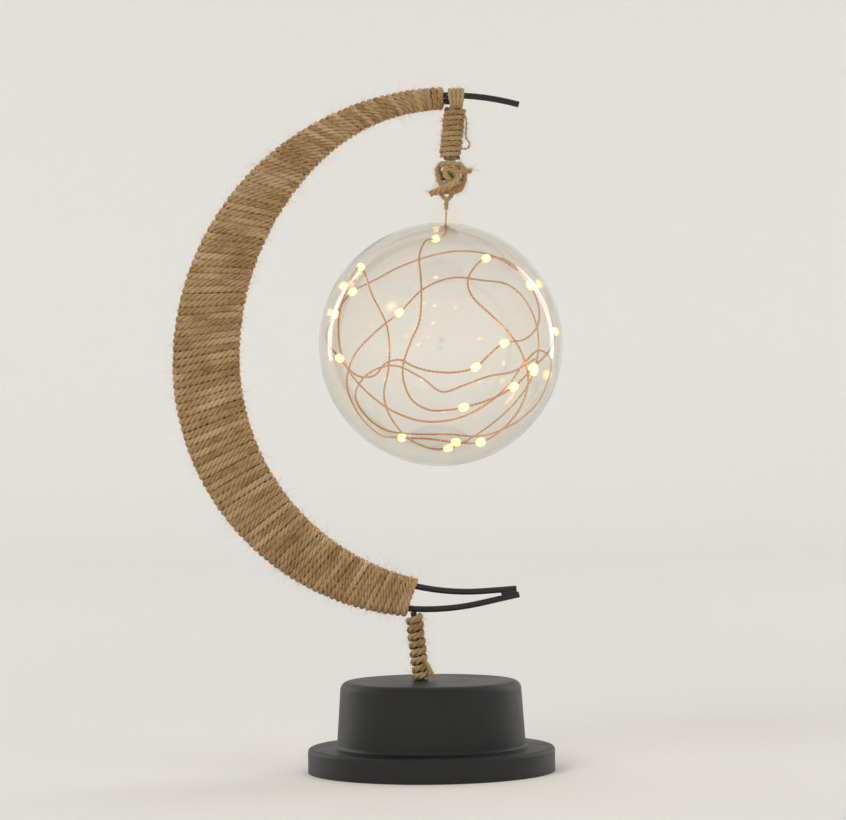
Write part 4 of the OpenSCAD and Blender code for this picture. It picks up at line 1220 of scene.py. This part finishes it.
@dataclass
class Hanger:
    """The eye over the wires, the wound bundle, the knot, and the loop that holds the ball."""

    eye: tuple[float, float] = (11.3145, 276.537)  # x and z of the middle of the eye
    eye_r: float = 2.95  # to the middle of the strands over the wires
    top: tuple[float, float] = (12.7145, 272.637)  # x and z of the bundle's top
    length: float = 22.0
    lean: float = 6.4
    core_r: float = 1.8  # to the middle of the core's strands
    core_count: int = 6
    core_turn: float = 0.9  # how far the core is twisted over its length, in radians
    reach: float = 3.7  # from the bundle's axis to the middle of the winding
    uneven: float = 0.15
    turns: float = 4.6
    steps: int = 28  # points a turn
    bare_low: float = 0.1  # length without winding at the bundle's lower end
    bare_top: float = 0.3
    smooth_low: float = 5.0  # height over the knot that has no loose fibres, where the knot turns
    smooth_top: float = 4.0  # depth under the bundle's top without them, where the wires are near
    over: tuple[float, ...] = (-0.7, 1.0, 2.7, 4.3)  # places of the strands over the wires, along X
    knot: tuple[float, float, float] = (10.2622, 249.261, 236.261)  # x, top and foot
    loop_x: float = 8.6622
    loop_low: float = 230.9  # height of the loop's lowest point
    loop_r: float = 3.0
    twine: Twine = Twine(1.95, 6.5, wide=1.12)
    thin: Twine = Twine(1.8, 6.0)
    core: Twine = Twine(2.2, 7.0)
    loose: Twine = Twine(0.9, 4.0, plies=2)
    knot_core: Twine = Twine(4.8, 9.0)
    frayed: Twine = Twine(2.0, 7.0)
    eye_fuzz: Fuzz = Fuzz(40, 1.5, 4.0)
    winding_fuzz: tuple[Fuzz, ...] = (Fuzz(250, 1.2, 4.0), Fuzz(20, 5.0, 8.0, 0.9))
    loose_fuzz: Fuzz = Fuzz(60, 1.0, 4.0)
    knot_long_fuzz: Fuzz = Fuzz(7, 4.0, 7.5, 0.9)
    cut_fuzz: Fuzz = Fuzz(46, 2.0, 5.0, 0.3)
    loop_fuzz: Fuzz = Fuzz(70, 1.2, 3.5)

    # A loose ply that slips out of the winding and curls back
    LOOSE_END = (
        (15.9, -2.2, 270.2), (17.0, -2.4, 267.4), (17.2, -2.0, 263.8), (16.9, -1.6, 260.4),
        (17.5, -1.6, 258.6), (18.3, -1.8, 257.6), (18.2, -2.1, 256.0), (17.0, -2.4, 255.0),
        (15.4, -2.5, 255.2),
    )
    # Where it curls round
    LOOSE_MIDDLE = (12.0, 0.0, 262.0)
    # The knot's strands: thickness, then points from the middle of the knot's foot. The second and third
    # start at their cut ends.
    STRANDS = (
        (
            2.5,
            (
                (1.0, 2.5, 10.6), (3.6, 1.8, 11.6), (4.6, -0.6, 12.2), (2.8, -3.2, 12.5),
                (-0.6, -3.9, 12.7), (-3.6, -2.8, 12.3), (-4.9, -1.6, 10.6), (-4.9, -1.8, 7.8),
                (-4.2, -2.6, 5.2), (-2.2, -3.8, 3.6), (0.8, -4.2, 2.4), (3.6, -3.2, 2.6),
                (5.4, -1.6, 4.8), (5.9, -1.4, 7.6), (5.4, -2.6, 10.2), (4.4, -2.0, 12.0), (3.0, 0.6, 12.3),
            ),
        ),
        (
            2.9,
            (
                (-8.2, -2.4, 0.4), (-6.0, -3.4, 1.0), (-3.2, -5.0, 2.2), (0.2, -5.9, 3.6), (2.6, -5.4, 5.6),
                (2.8, -4.4, 8.2), (1.4, -3.9, 10.6), (0.0, -2.8, 12.0),
            ),
        ),
        (
            2.0,
            (
                (8.9, -2.8, 9.4), (7.0, -3.2, 9.5), (5.0, -4.0, 9.3), (2.4, -4.6, 9.2), (-0.2, -4.6, 9.9),
                (-1.8, -3.9, 11.2), (-1.6, -1.5, 12.2),
            ),
        ),
        (
            2.3,
            (
                (-1.9, -3.6, 12.0), (-2.1, -4.4, 9.8), (-1.4, -4.7, 7.2), (0.8, -4.6, 5.2), (3.4, -3.3, 4.4),
                (4.6, -0.8, 5.2), (3.6, 2.2, 6.4), (0.6, 3.6, 7.0), (-2.6, 2.9, 7.2), (-4.0, 0.6, 7.4),
            ),
        ),
        (
            2.5,
            (
                (-4.8, -0.6, 10.4), (-4.6, 0.8, 9.8), (-3.2, 2.9, 9.4), (0.2, 3.9, 9.6), (3.4, 2.8, 10.2),
                (4.9, 0.2, 10.4), (3.9, -1.5, 10.9),
            ),
        ),
        (
            2.3,
            (
                (-3.6, 0.8, 4.6), (-2.4, 3.0, 4.2), (0.6, 3.8, 3.8), (3.6, 2.4, 3.4), (4.6, -0.4, 3.0),
                (3.2, -2.2, 1.6), (0.4, -2.8, 1.1), (-2.4, -1.8, 1.3), (-3.2, 0.4, 1.8), (-1.6, 2.6, 2.0),
                (1.2, 2.8, 1.9), (3.0, 1.2, 2.0),
            ),
        ),
    )

    def place(self, p: np.ndarray) -> np.ndarray:
        """Turns points of the bundle's own frame into the lamp's."""
        return leaned(p, self.top, self.lean)

    def lay_eye(self, bunch: Bunch) -> None:
        """Lays the strands over the wires, and the two from the bundle down into the knot.

        Args:
            bunch: what the strands and their fibres are added to.
        """
        x, z = self.eye
        for place in self.over:
            arch = [
                (x + place, -self.eye_r * math.cos(a), z + self.eye_r * math.sin(a))
                for a in np.linspace(0, math.pi, 9)
            ]
            foot = [
                (self.top[0] + place * 0.5 - 0.3, -1.6, self.top[1] - 1.6),
                (x + place * 0.8 + 0.5, -self.eye_r + 0.15, z - 2.9),
            ]
            strand = smooth([*foot, *arch, *[(p[0], -p[1], p[2]) for p in foot[::-1]]], 0.4)
            out = strand - np.array([x + place, 0, z - 1])
            kinds = [self.eye_fuzz] if place > 0 else []
            bunch.lay(self.thin, strand, out, *kinds, fuzzy=strand[:, 2] > z)
        x, top, _ = self.knot
        for side in (-1, 1):
            neck = [(x + 0.6, side * 0.9, top + 3.5), (x + 0.1, side * 0.8, top), (x, side * 0.5, top - 4.5)]
            line = smooth(neck, 0.5)
            self.thin.along(bunch.strands, line, np.array([0.1, side, 0.0]))

    def lay_core(self, bunch: Bunch) -> None:
        """Lays the strands inside the bundle, whose cut ends show below.

        Args:
            bunch: what the strands and their fibres are added to.
        """
        s = np.linspace(0, 1, 7)
        for k in range(self.core_count):
            a = TAU * k / self.core_count + 0.3 + self.core_turn * s
            low = -0.2 - (self.length + 0.3 - 0.2 * (k % 3)) * s
            own = np.stack([self.core_r * np.cos(a), self.core_r * np.sin(a), low], axis=1)
            line = smooth(self.place(own), 0.8)
            self.core.along(bunch.strands, line, line - line.mean(0) + [0.01, 0, 0], blunt=True)

    def lay_winding(self, bunch: Bunch) -> None:
        """Winds two strands round the bundle, and lets a loose ply slip out of them.

        Args:
            bunch: what the strands and their fibres are added to.
        """
        t = np.linspace(0, self.turns, int(self.turns * self.steps))
        pitch = (self.length - self.thin.thick - self.bare_low - self.bare_top) / self.turns
        height = self.bare_low + self.thin.thick / 2 - self.length + pitch * t
        for start in (0, 0.5):
            turn = TAU * (t + start)
            reach = self.reach + self.uneven * np.sin(turn * 0.37 + 4 * start)
            path, out = coil(self.place, turn, reach, height)
            low, high = self.knot[1] + self.smooth_low, self.top[1] - self.smooth_top
            free = (path[:, 2] > low) & (path[:, 2] < high)
            bunch.lay(self.twine, path, out, *self.winding_fuzz, fuzzy=free)
        line = smooth(self.LOOSE_END, 0.4)
        bunch.lay(self.loose, line, line - np.array(self.LOOSE_MIDDLE), self.loose_fuzz)

    def lay_knot(self, bunch: Bunch) -> None:
        """Lays the knot's strands with their two cut ends, and its core.

        Args:
            bunch: what the strands and their fibres are added to.
        """
        x, top, low = self.knot
        middle = np.array([x, 0, (top + low) / 2])
        lines = [smooth(np.array(points) + [x, 0, low], 0.45) for _, points in self.STRANDS]
        for (thick, _), line in zip(self.STRANDS, lines, strict=True):
            aside = (line - middle) * [1, 1, 0.3]
            kinds = [Fuzz(2 * len(line), 1.2, 3.8), self.knot_long_fuzz]
            bunch.lay(Twine(thick, thick * 2.9, sides=7), line, aside, *kinds, blunt=True)
        for line in lines[1:3]:
            self.frayed.fuzz(bunch.hair, line[:5], UP, bunch.rng, self.cut_fuzz)
        core = smooth([(x, 0, top - 0.9), (x + 0.2, 0.1, top - 6), (x - 0.2, 0, low + 1.2)], 0.7)
        self.knot_core.along(bunch.strands, core, np.array([1.0, 0.2, 0.0]))

    def build_loop(self, bunch: Bunch) -> None:
        """Makes the loop through the ball's lug, whose fibres join the knot's.

        Args:
            bunch: what its fibres are added to.
        """
        x, foot = self.loop_x, self.knot[2]
        under = [
            (x, self.loop_r * -math.cos(a), self.loop_low + self.loop_r * (1 - math.sin(a)))
            for a in np.linspace(0, math.pi, 9)
        ]
        front = [(x - 1.3, -2.4, foot + 2.4), (x - 2.1, -3.0, foot + 0.2)]
        rear = [(x + 2.3, 3.0, foot + 0.2), (x + 1.7, 2.4, foot + 2.4)]
        line = smooth([*front, *under, *rear], 0.4)
        aside = line - np.array([x, 0, self.loop_low + 5.0])
        loop = Skin()
        self.thin.along(loop, line, aside)
        self.thin.fuzz(bunch.hair, line, aside, bunch.rng, self.loop_fuzz)
        loop.piece("loop_strand", TWINE, Body.KNOT, "jute_twine", ["hanging_loop"])

    def build(self, rng: np.random.Generator) -> None:
        """Makes the hanger from top to bottom: what swings on the wires, and what also turns below.

        Args:
            rng: the source of the fibres' places.
        """
        upper, lower = Bunch(rng), Bunch(rng)
        self.lay_eye(upper)
        self.lay_core(upper)
        self.lay_winding(upper)
        upper.pieces("hanger_bundle", "hanger_fuzz", Body.HANGER, ["hanger_core", "hanger_wrap"])
        self.lay_knot(lower)
        self.build_loop(lower)
        lower.pieces("knot_strands", "knot_fuzz", Body.KNOT, ["hanger_knot"])


# ---------------------------------------------------------------- ball


@dataclass
class LightBall:
    """The light wire in the clear ball, and its lights."""

    middle: tuple[float, float] = (5.66084, 174.892)  # x and z
    lean: float = 3.1
    inside: float = 48.8  # inside radius
    lug_top: float = 60.85  # height over the middle
    feed_y: float = 5.2  # how far behind the middle the wire comes in
    wire_r: float = 0.45
    strand_r: float = 0.25
    apart: float = 0.23  # from the middle of the wire to the middle of each strand
    twist: float = 3.4  # length of one turn of the strands
    drop: float = 1.6
    clear: float = 0.1  # from the wall to the wire or a drop, at least
    long: float = 1.35  # a drop's half length over its size
    thick: float = 0.94  # its radius over its size

    # A light chip's half length and radius at each ring
    CHIP = ((-0.62, 0.02), (-0.6, 0.5), (0.6, 0.5), (0.62, 0.02))
    # The wire's route: right of the middle and above it in hundredths of the inside radius, its side (-1 in
    # front, 1 behind), mm in from the wall, and 1 where there is a light
    ROUTE = (
        (0, 95.1, 1, 2, 0), (-8.2, 91.2, 1, 2.5, 1), (-16.4, 86.1, -1, 5.9, 0), (-20.5, 68.6, -1, 3, 0),
        (-18.4, 49.2, -1, 2, 0), (-17.4, 31.8, -1, 1.6, 0), (-18.4, 14.3, -1, 1.4, 0),
        (-24.6, -2, -1, 1.4, 0), (-29.7, -19.5, -1, 1.4, 0), (-28.7, -33.8, -1, 1.4, 0),
        (-21.5, -48.2, -1, 1.4, 0), (-8.2, -55.3, -1, 1.4, 0), (6.1, -55.3, -1, 1.4, 0),
        (20.5, -52.3, -1, 1.4, 1), (41, -45.1, -1, 1.4, 0), (60.5, -33.8, -1, 1.4, 1),
        (75.8, -17.4, -1, 1.4, 1), (89.1, -2, -1, 1.2, 0), (94.3, 14.3, -1, 1.2, 1), (90.2, 32.8, 1, 1.2, 0),
        (77.9, 53.3, 1, 1.4, 1), (61.5, 68.6, 1, 1.6, 0), (40, 79.9, 1, 2, 0), (13.3, 83, 1, 2, 0),
        (-12.3, 77.9, 1, 2, 0), (-37.9, 67.6, 1, 2, 0), (-58.4, 55.3, 1, 2, 0), (-77.9, 43, 1, 2, 1),
        (-91.2, 22.5, 1, 1.6, 1), (-95.3, 2, -1, 1.4, 0), (-82, -16.4, -1, 2, 1), (-67.6, -29.7, -1, 3.5, 0),
        (-53.3, -29.7, -1, 4, 0), (-44.1, -19.5, -1, 4, 0), (-32.8, -16.4, -1, 4, 0),
        (-20.5, -21.5, -1, 4, 0), (-6.1, -24.6, -1, 3.6, 0), (12.3, -24.6, -1, 3.4, 0),
        (28.7, -19.5, -1, 3.2, 1), (41, -7.2, -1, 3.2, 0), (51.2, 1, -1, 3.2, 1), (67.6, 5.1, -1, 3, 0),
        (77.9, 16.4, -1, 3, 0), (78.9, 32.8, -1, 3, 0), (71.7, 51.2, -1, 3, 1), (61.5, 63.5, -1, 3, 0),
        (48.2, 71.7, -1, 4, 0), (33.8, 70.7, -1, 4.5, 1), (23.6, 60.5, -1, 4, 0), (19.5, 48.2, -1, 3, 0),
        (24.6, 35.9, -1, 3, 0), (38.9, 23.6, -1, 3.6, 0), (53.3, 11.3, -1, 5.4, 0), (65.6, -5.1, -1, 5.8, 0),
        (72.7, -26.6, -1, 5, 0), (67.6, -49.2, -1, 3.4, 0), (53.3, -68.6, -1, 3, 0), (35.9, -79.9, -1, 3, 1),
        (15.4, -80.9, -1, 3, 1), (-6.1, -78.9, -1, 3, 0), (-28.7, -78.9, -1, 3, 1), (-49.2, -77.9, 1, 3.4, 0),
        (-67.6, -61.5, 1, 3, 0), (-78.9, -37.9, 1, 3, 0), (-74.8, -12.3, 1, 3.4, 0), (-58.4, 9.2, 1, 3.8, 0),
        (-36.9, 28.7, 1, 3.8, 1), (-16.4, 50.2, 1, 4, 0), (8.2, 60.5, 1, 4, 0), (31.8, 59.4, 1, 4, 0),
        (56.4, 55.3, 1, 4, 0), (73.8, 38.9, 1, 4.2, 0), (84, 12.3, 1, 3.4, 0), (82, -18.4, 1, 3, 1),
        (67.6, -45.1, 1, 3, 0), (41, -70.7, 1, 3, 0), (10.2, -88.1, 1, 3, 1), (-16.4, -85, 1, 4, 0),
        (-36.9, -68.6, 1, 3.4, 0), (-47.1, -45.1, 1, 2.4, 0), (-44.1, -16.4, 1, 1.6, 0),
        (-47.1, 15.4, 1, 1.2, 0), (-61.5, 43, 1, 3.8, 0), (-69.7, 61.5, -1, 3, 1),
    )
    # The wire's dark end, which runs on past the last light
    END = (
        (-79, 44, -1, 3.6, 0), (-85, 20, -1, 4.2, 0), (-83, -6, -1, 4.6, 0), (-75, -25, -1, 4.8, 0),
        (-64, -38, -1, 4.8, 0), (-51, -49, -1, 4.6, 0), (-34, -59, -1, 4.6, 0), (-11, -65, -1, 4.6, 0),
        (14, -62, -1, 4.8, 0), (36, -51, -1, 4.8, 0), (54, -35, -1, 4.8, 0), (68, -15, -1, 4.8, 0),
        (80, -3, -1, 4.4, 0), (91, -9, -1, 2.6, 0), (92, -26, 1, 2.6, 0), (83, -47, 1, 4.2, 0),
        (63, -65, 1, 4.6, 0), (38, -76, 1, 4.6, 0), (11, -76, 1, 5.2, 0), (-17, -77, 1, 5.4, 0),
        (-42, -75, 1, 4.8, 0), (-60, -64, 1, 4.8, 0), (-71, -46, 1, 4.8, 0), (-62, -27, 1, 5.4, 0),
        (-40, -18, 1, 5.8, 0), (-16, -27, 1, 6.0, 0), (3, -39, 1, 6.0, 0), (21, -33, 1, 6.0, 0),
        (43, -24, 1, 5.8, 0), (64, -19, 1, 5.4, 0), (82, -8, 1, 4.6, 0),
    )

    def place(self, p: np.ndarray) -> np.ndarray:
        """Turns points of the ball's own frame into the lamp's."""
        return leaned(p, self.middle, self.lean)

    def points(self) -> tuple[np.ndarray, np.ndarray]:
        """Works the route out.

        Returns:
            Its points in the ball's own frame, and for each whether there is a light.
        """
        rows = np.array(self.ROUTE + self.END, float)
        lit = rows[:, 4] == 1
        away = np.maximum(rows[:, 3], np.where(lit, self.drop, self.wire_r) + self.clear)
        x, z = rows[:, 0] * self.inside / 100, rows[:, 1] * self.inside / 100
        r = self.inside - away
        y = rows[:, 2] * np.sqrt(np.maximum(0, r**2 - x**2 - z**2))
        return np.stack([x, y, z], axis=1), lit

    def build_wire(self) -> None:
        """Makes the two twisted strands of the light wire, from the hole beside the lug to the last point."""
        lead = [(0, self.feed_y, z) for z in (self.lug_top - 0.6, 55.0, 49.0)]
        path = self.place(smooth([*lead, *self.points()[0]], 0.55))
        out, across = frames(path, path - np.array([self.middle[0], 0, self.middle[1]]) + [0.01, 0.02, 0])
        run = run_of(path)
        skin = Skin()
        for k in (0, 1):
            turn = (TAU * (run / self.twist + k / 2))[:, None]
            line = path + self.apart * (np.cos(turn) * out + np.sin(turn) * across)
            skin.tube(line, out, across, self.strand_r, 6)
        skin.piece("light_strands", COPPER, Body.BALL, "copper", ["led_wire"])

    def build_lights(self) -> None:
        """Makes a resin drop on the wire at each light, drawn out along it, and the chip inside."""
        p, lit = self.points()
        heading = unit(np.gradient(p, axis=0))
        s = np.linspace(-1, 1, 11)
        shape = np.maximum(0.02, np.sqrt(np.maximum(0, 1 - np.abs(s) ** 2.2)) * (1 - 0.12 * s))
        chip_at, chip_r = np.transpose(self.CHIP)
        drops, chips = Skin(), Skin()
        for q, d in zip(self.place(p[lit]), heading[lit], strict=True):
            outward = q - [self.middle[0], 0, self.middle[1]]
            for skin, at, radius, sides in (
                (drops, s * self.drop * self.long, self.drop * self.thick * shape, 14),
                (chips, chip_at, chip_r, 4),
            ):
                line = q + np.outer(at, d)
                skin.tube(line, *frames(line, outward), radius, sides)
        drops.piece("light_drops", RESIN, Body.BALL, "led_resin", ["led_beads"])
        chips.piece("light_chips", PHOSPHOR, Body.BALL, "led_resin")

    def build(self) -> None:
        """Makes the light wire and its lights."""
        self.build_wire()
        self.build_lights()


# ---------------------------------------------------------------- switch


@dataclass
class SwitchMarks:
    """The two marks printed on the rocker: a stroke on the side that is pressed for light, and a ring."""

    axis: tuple[float, float] = (36.71, 26.5)  # y and z of the rocker's axis
    crest: float = 2.2  # from the axis to the ridge between the faces
    half_width: float = 5.2
    flat: float = 0.3  # half the ridge's width
    tilt: float = 12.0  # slope of each face, and how far the rocker is tipped at rest
    tall: float = 2.5
    line: float = 0.5
    proud: float = 0.04

    def face(self, side: float) -> tuple[np.ndarray, np.ndarray, np.ndarray]:
        """One of the rocker's two outer faces, as it stands at rest.

        Args:
            side: 1 for the face towards +X, -1 for the other.

        Returns:
            Its middle, the direction across it towards +X, and its outward normal.
        """
        drop = self.half_width * math.tan(math.radians(self.tilt))
        a = -math.radians(self.tilt)
        turn = np.array([[math.cos(a), -math.sin(a)], [math.sin(a), math.cos(a)]])
        middle = turn @ [side * (self.half_width + self.flat) / 2, self.crest - drop / 2]
        right = unit(turn @ [self.half_width - self.flat, -side * drop])
        return (
            np.array([middle[0], self.axis[0] + middle[1], self.axis[1]]),
            np.array([right[0], right[1], 0.0]),
            np.array([-right[1], right[0], 0.0]),
        )

    def build(self) -> None:
        """Makes both marks as thin raised lines of ink."""
        skin = Skin()
        middle, right, normal = self.face(1.0)
        stroke = middle + np.outer([-self.tall / 2, self.tall / 2], UP)
        skin.tube(stroke, right * self.line / 2, normal * self.proud, 1.0, 4)
        middle, right, normal = self.face(-1.0)
        turn = np.linspace(0, TAU, 33)[:, None]
        radial = np.cos(turn) * right + np.sin(turn) * UP
        ring = middle + radial * (self.tall - self.line) / 2
        skin.tube(ring, radial * self.line / 2, normal * self.proud, 1.0, 4)
        skin.piece("switch_marks", MARK_INK, Body.ROCKER, "switch_plastic")


# ---------------------------------------------------------------- carried-over nodes

NODE_FINISHES: dict[str, Finish] = {
    "base_housing": MATTE_ABS,
    "bottom_cover": MATTE_ABS,
    "battery_door": MATTE_ABS,
    "cover_screws": ZINC,
    "battery_1": CellWrap("cell_wrap_1", 11.0, True),
    "battery_2": CellWrap("cell_wrap_2", -11.0, False),
    "battery_3": CellWrap("cell_wrap_3", 11.0, True),
    "contact_springs": NICKEL,
    "contact_plates": NICKEL,
    "circuit_board": BOARD,
    "feed_wires": PVC,
    "switch_body": SWITCH_NYLON,
    "switch_rocker": SWITCH_NYLON,
    "stem_rod": BLACK_IRON,
    "stem_washer": ZINC,
    "stem_nut": ZINC,
    "outer_arc_wire": BLACK_IRON,
    "inner_arc_wire": BLACK_IRON,
    "arc_spacers": BLACK_IRON,
    "lead_wire": COPPER,
    "ball_front_half": CLEAR,
    "ball_rear_half": CLEAR,
}


def dress_nodes(nodes: dict[str, bpy.types.Object]) -> None:
    """Gives each CAD node that stays its finish.

    Args:
        nodes: the CAD nodes by name.
    """
    for name, finish in NODE_FINISHES.items():
        data = nodes[name].data
        data.materials.clear()
        data.materials.append(finish.make())
        log.info("%s: %s", name, finish.name)


# ---------------------------------------------------------------- studio


@dataclass
class Studio:
    """A round pale cove, three soft lights, two strips behind, and the camera at the photograph's place."""

    floor_r: float = 2.2
    wall_r: float = 3.2
    wall_h: float = 3.0
    sides: int = 96
    aim_h: float = 0.14
    distance: float = 1.25
    height: float = 0.1385
    aside: float = -0.0019
    sensor: float = 36.0
    focal_px: float = 3043.0
    width_px: float = 846.0
    roll: float = -0.65
    pitch: float = 0.437

    # Rings of the flat floor, from one almost closed at the middle
    FLOOR_RINGS = (0.0005, 0.4, 1.2)

    def build_cove(self) -> None:
        """Makes the floor, which curves up into a round wall."""
        curve = self.wall_r - self.floor_r
        angles = np.linspace(0, math.pi / 2, 12)
        bend = [(self.floor_r + curve * math.sin(a), curve * (1 - math.cos(a))) for a in angles]
        profile = [*((r, 0.0) for r in self.FLOOR_RINGS), *bend, (self.wall_r, self.wall_h)]
        sides, turn = self.sides, TAU / self.sides
        points = [
            (r * math.cos(turn * k), r * math.sin(turn * k), z) for r, z in profile for k in range(sides)
        ]
        faces = [
            (i + sides + k, i + sides + (k + 1) % sides, i + (k + 1) % sides, i + k)
            for i in range(0, (len(profile) - 1) * sides, sides)
            for k in range(sides)
        ]
        mesh = bpy.data.meshes.new("cove")
        mesh.from_pydata(points, [], faces)
        mesh.polygons.foreach_set("use_smooth", np.ones(len(faces), bool))
        mesh.materials.append(PalePlaster("pale_plaster").make())
        cove = bpy.data.objects.new("cove", mesh)
        bpy.context.scene.collection.objects.link(cove)

    def add_light(
        self,
        name: str,
        at: tuple[float, float, float],
        size: tuple[float, float],
        watts: float,
        mirrored: bool,
    ) -> None:
        """Adds a soft light that looks at the object's middle.

        Args:
            name: its name.
            at: its place in metres.
            size: its width and height in metres.
            watts: its power.
            mirrored: whether glossy and clear surfaces show it.
        """
        light = bpy.data.lights.new(name, "AREA")
        light.shape = "RECTANGLE"
        light.size, light.size_y = size
        light.energy = watts
        made = bpy.data.objects.new(name, light)
        made.location = at
        made.rotation_mode = "QUATERNION"
        made.rotation_quaternion = (Vector((0, 0, self.aim_h)) - Vector(at)).to_track_quat("-Z", "Y")
        made.visible_glossy = mirrored
        made.visible_transmission = made.visible_camera = False
        bpy.context.scene.collection.objects.link(made)

    def build_camera(self) -> None:
        """Puts the camera where the photograph was taken from."""
        camera = bpy.data.cameras.new("camera")
        camera.sensor_width = self.sensor
        camera.lens = self.focal_px / self.width_px * self.sensor
        camera.clip_end = 50
        made = bpy.data.objects.new("camera", camera)
        bpy.context.scene.collection.objects.link(made)
        tilt = Matrix.Rotation(math.radians(90 + self.pitch), 4, "X")
        made.matrix_world = (
            Matrix.Translation((self.aside, -self.distance, self.height))
            @ tilt
            @ Matrix.Rotation(math.radians(self.roll), 4, "Z")
        )
        bpy.context.scene.camera = made

    def build_world(self) -> None:
        """Makes an even pale surround."""
        world = bpy.data.worlds.new("surround")
        world.use_nodes = True
        tree = world.node_tree
        tree.nodes.clear()
        sky = add(tree, "ShaderNodeBackground", inputs={"Color": linear("#f2f4f7"), "Strength": 0.6})
        add(tree, "ShaderNodeOutputWorld", inputs={"Surface": sky.outputs["Background"]})
        bpy.context.scene.world = world

    def build(self) -> None:
        """Makes the whole studio."""
        self.build_camera()
        self.build_cove()
        self.build_world()
        self.add_light("key", (-1.3, -1.5, 1.7), (1.0, 1.0), 22, False)
        self.add_light("fill", (1.6, -1.2, 0.9), (1.2, 1.2), 6, False)
        self.add_light("top", (0.2, 0.9, 1.9), (1.0, 1.0), 7, False)
        self.add_light("left_strip", (-1.5, 1.2, 0.6), (0.3, 1.8), 5, True)
        self.add_light("right_strip", (1.5, 1.2, 0.6), (0.3, 1.8), 5, True)
        bpy.context.scene.view_settings.view_transform = "Standard"


def main() -> None:
    """Builds the scene."""
    logging.basicConfig(level=logging.INFO, format="%(name)s: %(message)s")
    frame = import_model()
    Studio().build()
    dress_nodes(frame["nodes"])
    rng = np.random.default_rng(11)
    form = CrescentForm()
    CrescentTwine(form).build(rng)
    TipWeld(form).build()
    StemTwine(form).build(rng)
    Hanger().build(rng)
    LightBall().build()
    SwitchMarks().build()


if __name__ == "__main__":
    main()
